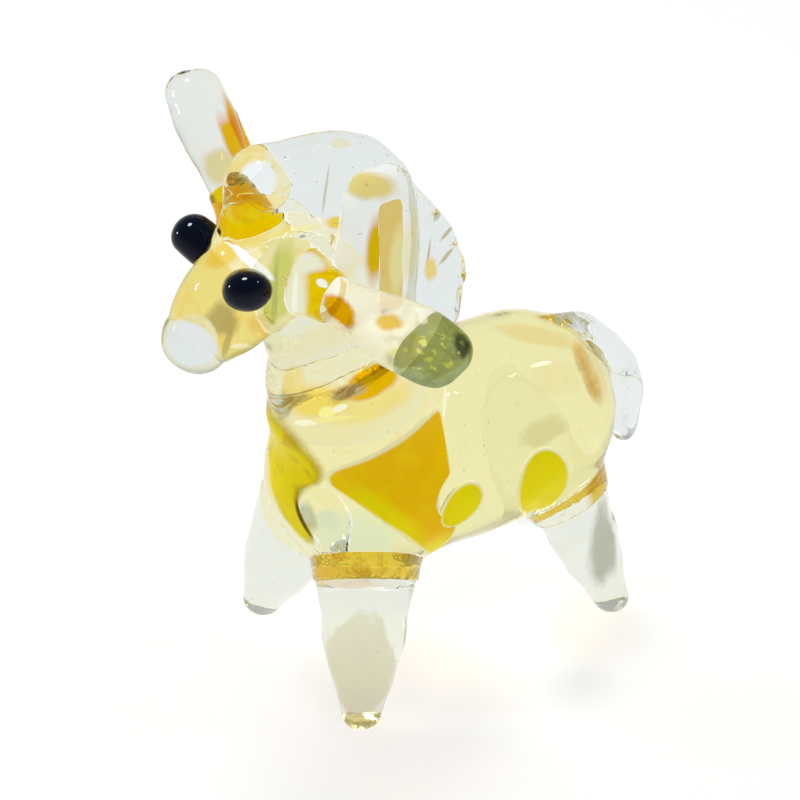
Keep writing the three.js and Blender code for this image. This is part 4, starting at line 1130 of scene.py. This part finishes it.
orange_glass = opaque("orange_yellow_glass", (0.94, 0.57, 0.0), (0.96, 0.64, 0.0), 0.8, 0.25, gloss=0.05,
                      rims=((0.16, PALE_RIM),), stains_and_painted_light=(
    stain_or_light_blot((0.95, 0.79, 0.0), (5.0, 1.7, 12.0), (2.0, 3.4, 0.8), edge=0.5, turn=(math.radians(-50), 0, 0)),
    stain_or_light_blot((0.95, 0.79, 0.0), (4.6, 4.9, 8.3), (2.0, 1.3, 1.3), edge=0.5),
))
yellow_glass = opaque("lemon_yellow_glass", (0.92, 0.80, 0.0), (0.90, 0.76, 0.0), 0.6, 0.25, gloss=0.05,
                      rims=((0.16, PALE_RIM),))
chest_glass = opaque("chest_yellow_glass", (0.80, 0.66, 0.0), (0.66, 0.50, 0.01), 1.0, 0.25, gloss=0.05,
                     fades_over=0.7)
streak_glass = opaque("amber_streak_glass", (0.66, 0.37, 0.03), (0.80, 0.54, 0.10), 1.0, 0.25, gloss=0.05,
                      fades_over=0.8, most=0.5)
spot("shoulder_fin", "shoulder_patch", "orange_enamel", orange_glass, FIN,
     *on_side(3.1, math.radians(20)), middle=(0.85, -1.2))
spot("small_yellow_dot", "small_spot", "yellow_enamel", yellow_glass,
     oval(2.9, 2.25, math.radians(50)) - [0.2, 0], *on_side(6.1, 0.0))
spot("flank_yellow_oval", "flank_spot", "yellow_enamel", yellow_glass,
     oval(3.2, 4.8, math.radians(10)) + [0.05, -0.65], *on_side(10.7, math.radians(-2)))
spot("rump_amber_streak", "rump_streak", "amber_glass", streak_glass, oval(1.5, 4.0),
     *on_side(14.8, math.radians(48)))
spot("chest_yellow_lens", "chest_spot", "yellow_enamel", chest_glass, BIB, body_start + [0, CHEST_RADIUS, 0],
     np.array(ACROSS), np.array([0, math.sin(CHEST_RISE), math.cos(CHEST_RISE)]), middle=(0.4, 1.7))

# Studio. A white table, a soft white room and three round lamps, whose mirror images sit on the eyes.
# The camera stands to the front left of the animal and above it.

AZIMUTH = math.radians(59.3)
ELEVATION = math.radians(36.7)
CAMERA_DISTANCE = 168.0
AIMED_AT = np.array([-0.2863, -0.7022, 14.874])
LENS = 151.74

right_way = np.array([math.cos(AZIMUTH), math.sin(AZIMUTH), 0])
up_way = np.array([-math.sin(AZIMUTH) * math.sin(ELEVATION), math.cos(AZIMUTH) * math.sin(ELEVATION),
                   math.cos(ELEVATION)])
to_camera = np.cross(right_way, up_way)


def look(thing, place, at):
    """Puts a camera or a lamp at a place, turned so that it looks at a point."""
    thing.location = Vector(place)
    thing.rotation_euler = (Vector(at) - Vector(place)).to_track_quat("-Z", "Y").to_euler()
    bpy.context.scene.collection.objects.link(thing)


camera_data = bpy.data.cameras.new("camera")
camera_data.lens = LENS
camera_data.sensor_width = 36
camera_data.clip_start = 0.005
camera = bpy.data.objects.new("camera", camera_data)
look(camera, (AIMED_AT + to_camera * CAMERA_DISTANCE) * MM, AIMED_AT * MM)
bpy.context.scene.camera = camera

# Each lamp: how far to the right, up and nearer it stands, its distance and radius, and its brightness. A
# disk of a given brightness has a power of pi times that brightness times its area.
head_place = placed(head_point(0.4))
LAMPS = (
    ("key_lamp", -0.146, 0.94, 0.312, 160, 20, 46),
    ("left_lamp", -0.90, 0.36, 0.05, 160, 10, 58),
    ("right_lamp", 0.62, 0.72, 0.32, 160, 9, 36),
)
for name, to_right, upwards, nearer, away, radius, brightness in LAMPS:
    lamp_data = bpy.data.lights.new(name, "AREA")
    lamp_data.shape = "DISK"
    lamp_data.size = 2 * radius * MM
    lamp_data.energy = brightness * math.pi * math.pi * (radius * MM) ** 2
    lamp = bpy.data.objects.new(name, lamp_data)
    aim = right_way * to_right + up_way * upwards + to_camera * nearer
    look(lamp, head_place + aim / np.linalg.norm(aim) * away * MM, head_place)


def ray(tree, kind):
    """Whether a ray is of a kind, such as one that comes straight from the camera."""
    return add(tree, "LightPath", f"Is {kind} Ray", {})


def choose(kind, without, with_kind):
    """The room's brightness for one kind of ray and for all others."""
    feeds = {"Factor": ray(room, kind), "A": without, "B": with_kind}
    return add(room, "Mix", "Result", feeds, data_type="FLOAT")


world = bpy.data.worlds.new("room")
bpy.context.scene.world = world
world.use_nodes = True
room = world.node_tree
room.nodes.clear()
# Mirror images show a darker ceiling, and bent rays a brighter one. A bent ray counts as a mirrored ray
# too, so its choice comes after that one. To the camera the room is white.
height = add(room, "SeparateXYZ", "Z", {"Vector": add(room, "TexCoord", "Generated", {})})
level = choose("Glossy", 0.72, ramp(room, height, 0.0, 0.7, 0.8, 0.25))
level = choose("Transmission", level, ramp(room, height, 0.0, 0.9, 0.9, 0.6))
level = choose("Camera", level, 1.0)
air = add(room, "Background", "Background", {"Strength": level})
room_out = room.nodes.new("ShaderNodeOutputWorld")
room.links.new(air, room_out.inputs["Surface"])

TABLE_HALF = 2.0
TABLE_GLOW = 0.65
table_mesh = bpy.data.meshes.new("table")
corners = [(-TABLE_HALF, -TABLE_HALF, 0), (TABLE_HALF, -TABLE_HALF, 0), (TABLE_HALF, TABLE_HALF, 0),
           (-TABLE_HALF, TABLE_HALF, 0)]
table_mesh.from_pydata(corners, [], [(0, 1, 2, 3)])
table = bpy.data.objects.new("table", table_mesh)
bpy.context.scene.collection.objects.link(table)
table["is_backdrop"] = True
table_paint = bpy.data.materials.new("white_table")
table_paint.use_nodes = True
paint = table_paint.node_tree
paint.nodes.clear()
seen = maths(paint, "MAXIMUM", maths(paint, "MAXIMUM", ray(paint, "Camera"), ray(paint, "Glossy")),
             ray(paint, "Transmission"))
both = add(paint, "MixShader", "Shader", {
    "Fac": maths(paint, "MULTIPLY", seen, TABLE_GLOW),
    1: add(paint, "BsdfDiffuse", "BSDF", {"Color": (0.84, 0.84, 0.84, 1)}),
    2: add(paint, "Emission", "Emission", {}),
})
paint_out = paint.nodes.new("ShaderNodeOutputMaterial")
paint.links.new(both, paint_out.inputs["Surface"])
table_mesh.materials.append(table_paint)

scene = bpy.context.scene
scene.view_settings.view_transform = "Standard"
scene.cycles.max_bounces = 24
scene.cycles.transmission_bounces = 20
scene.cycles.transparent_max_bounces = 40
scene.cycles.glossy_bounces = 12

sizes = {"cad": [list(corner) for corner in cad_box], "visual": [list(corner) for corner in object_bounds()]}
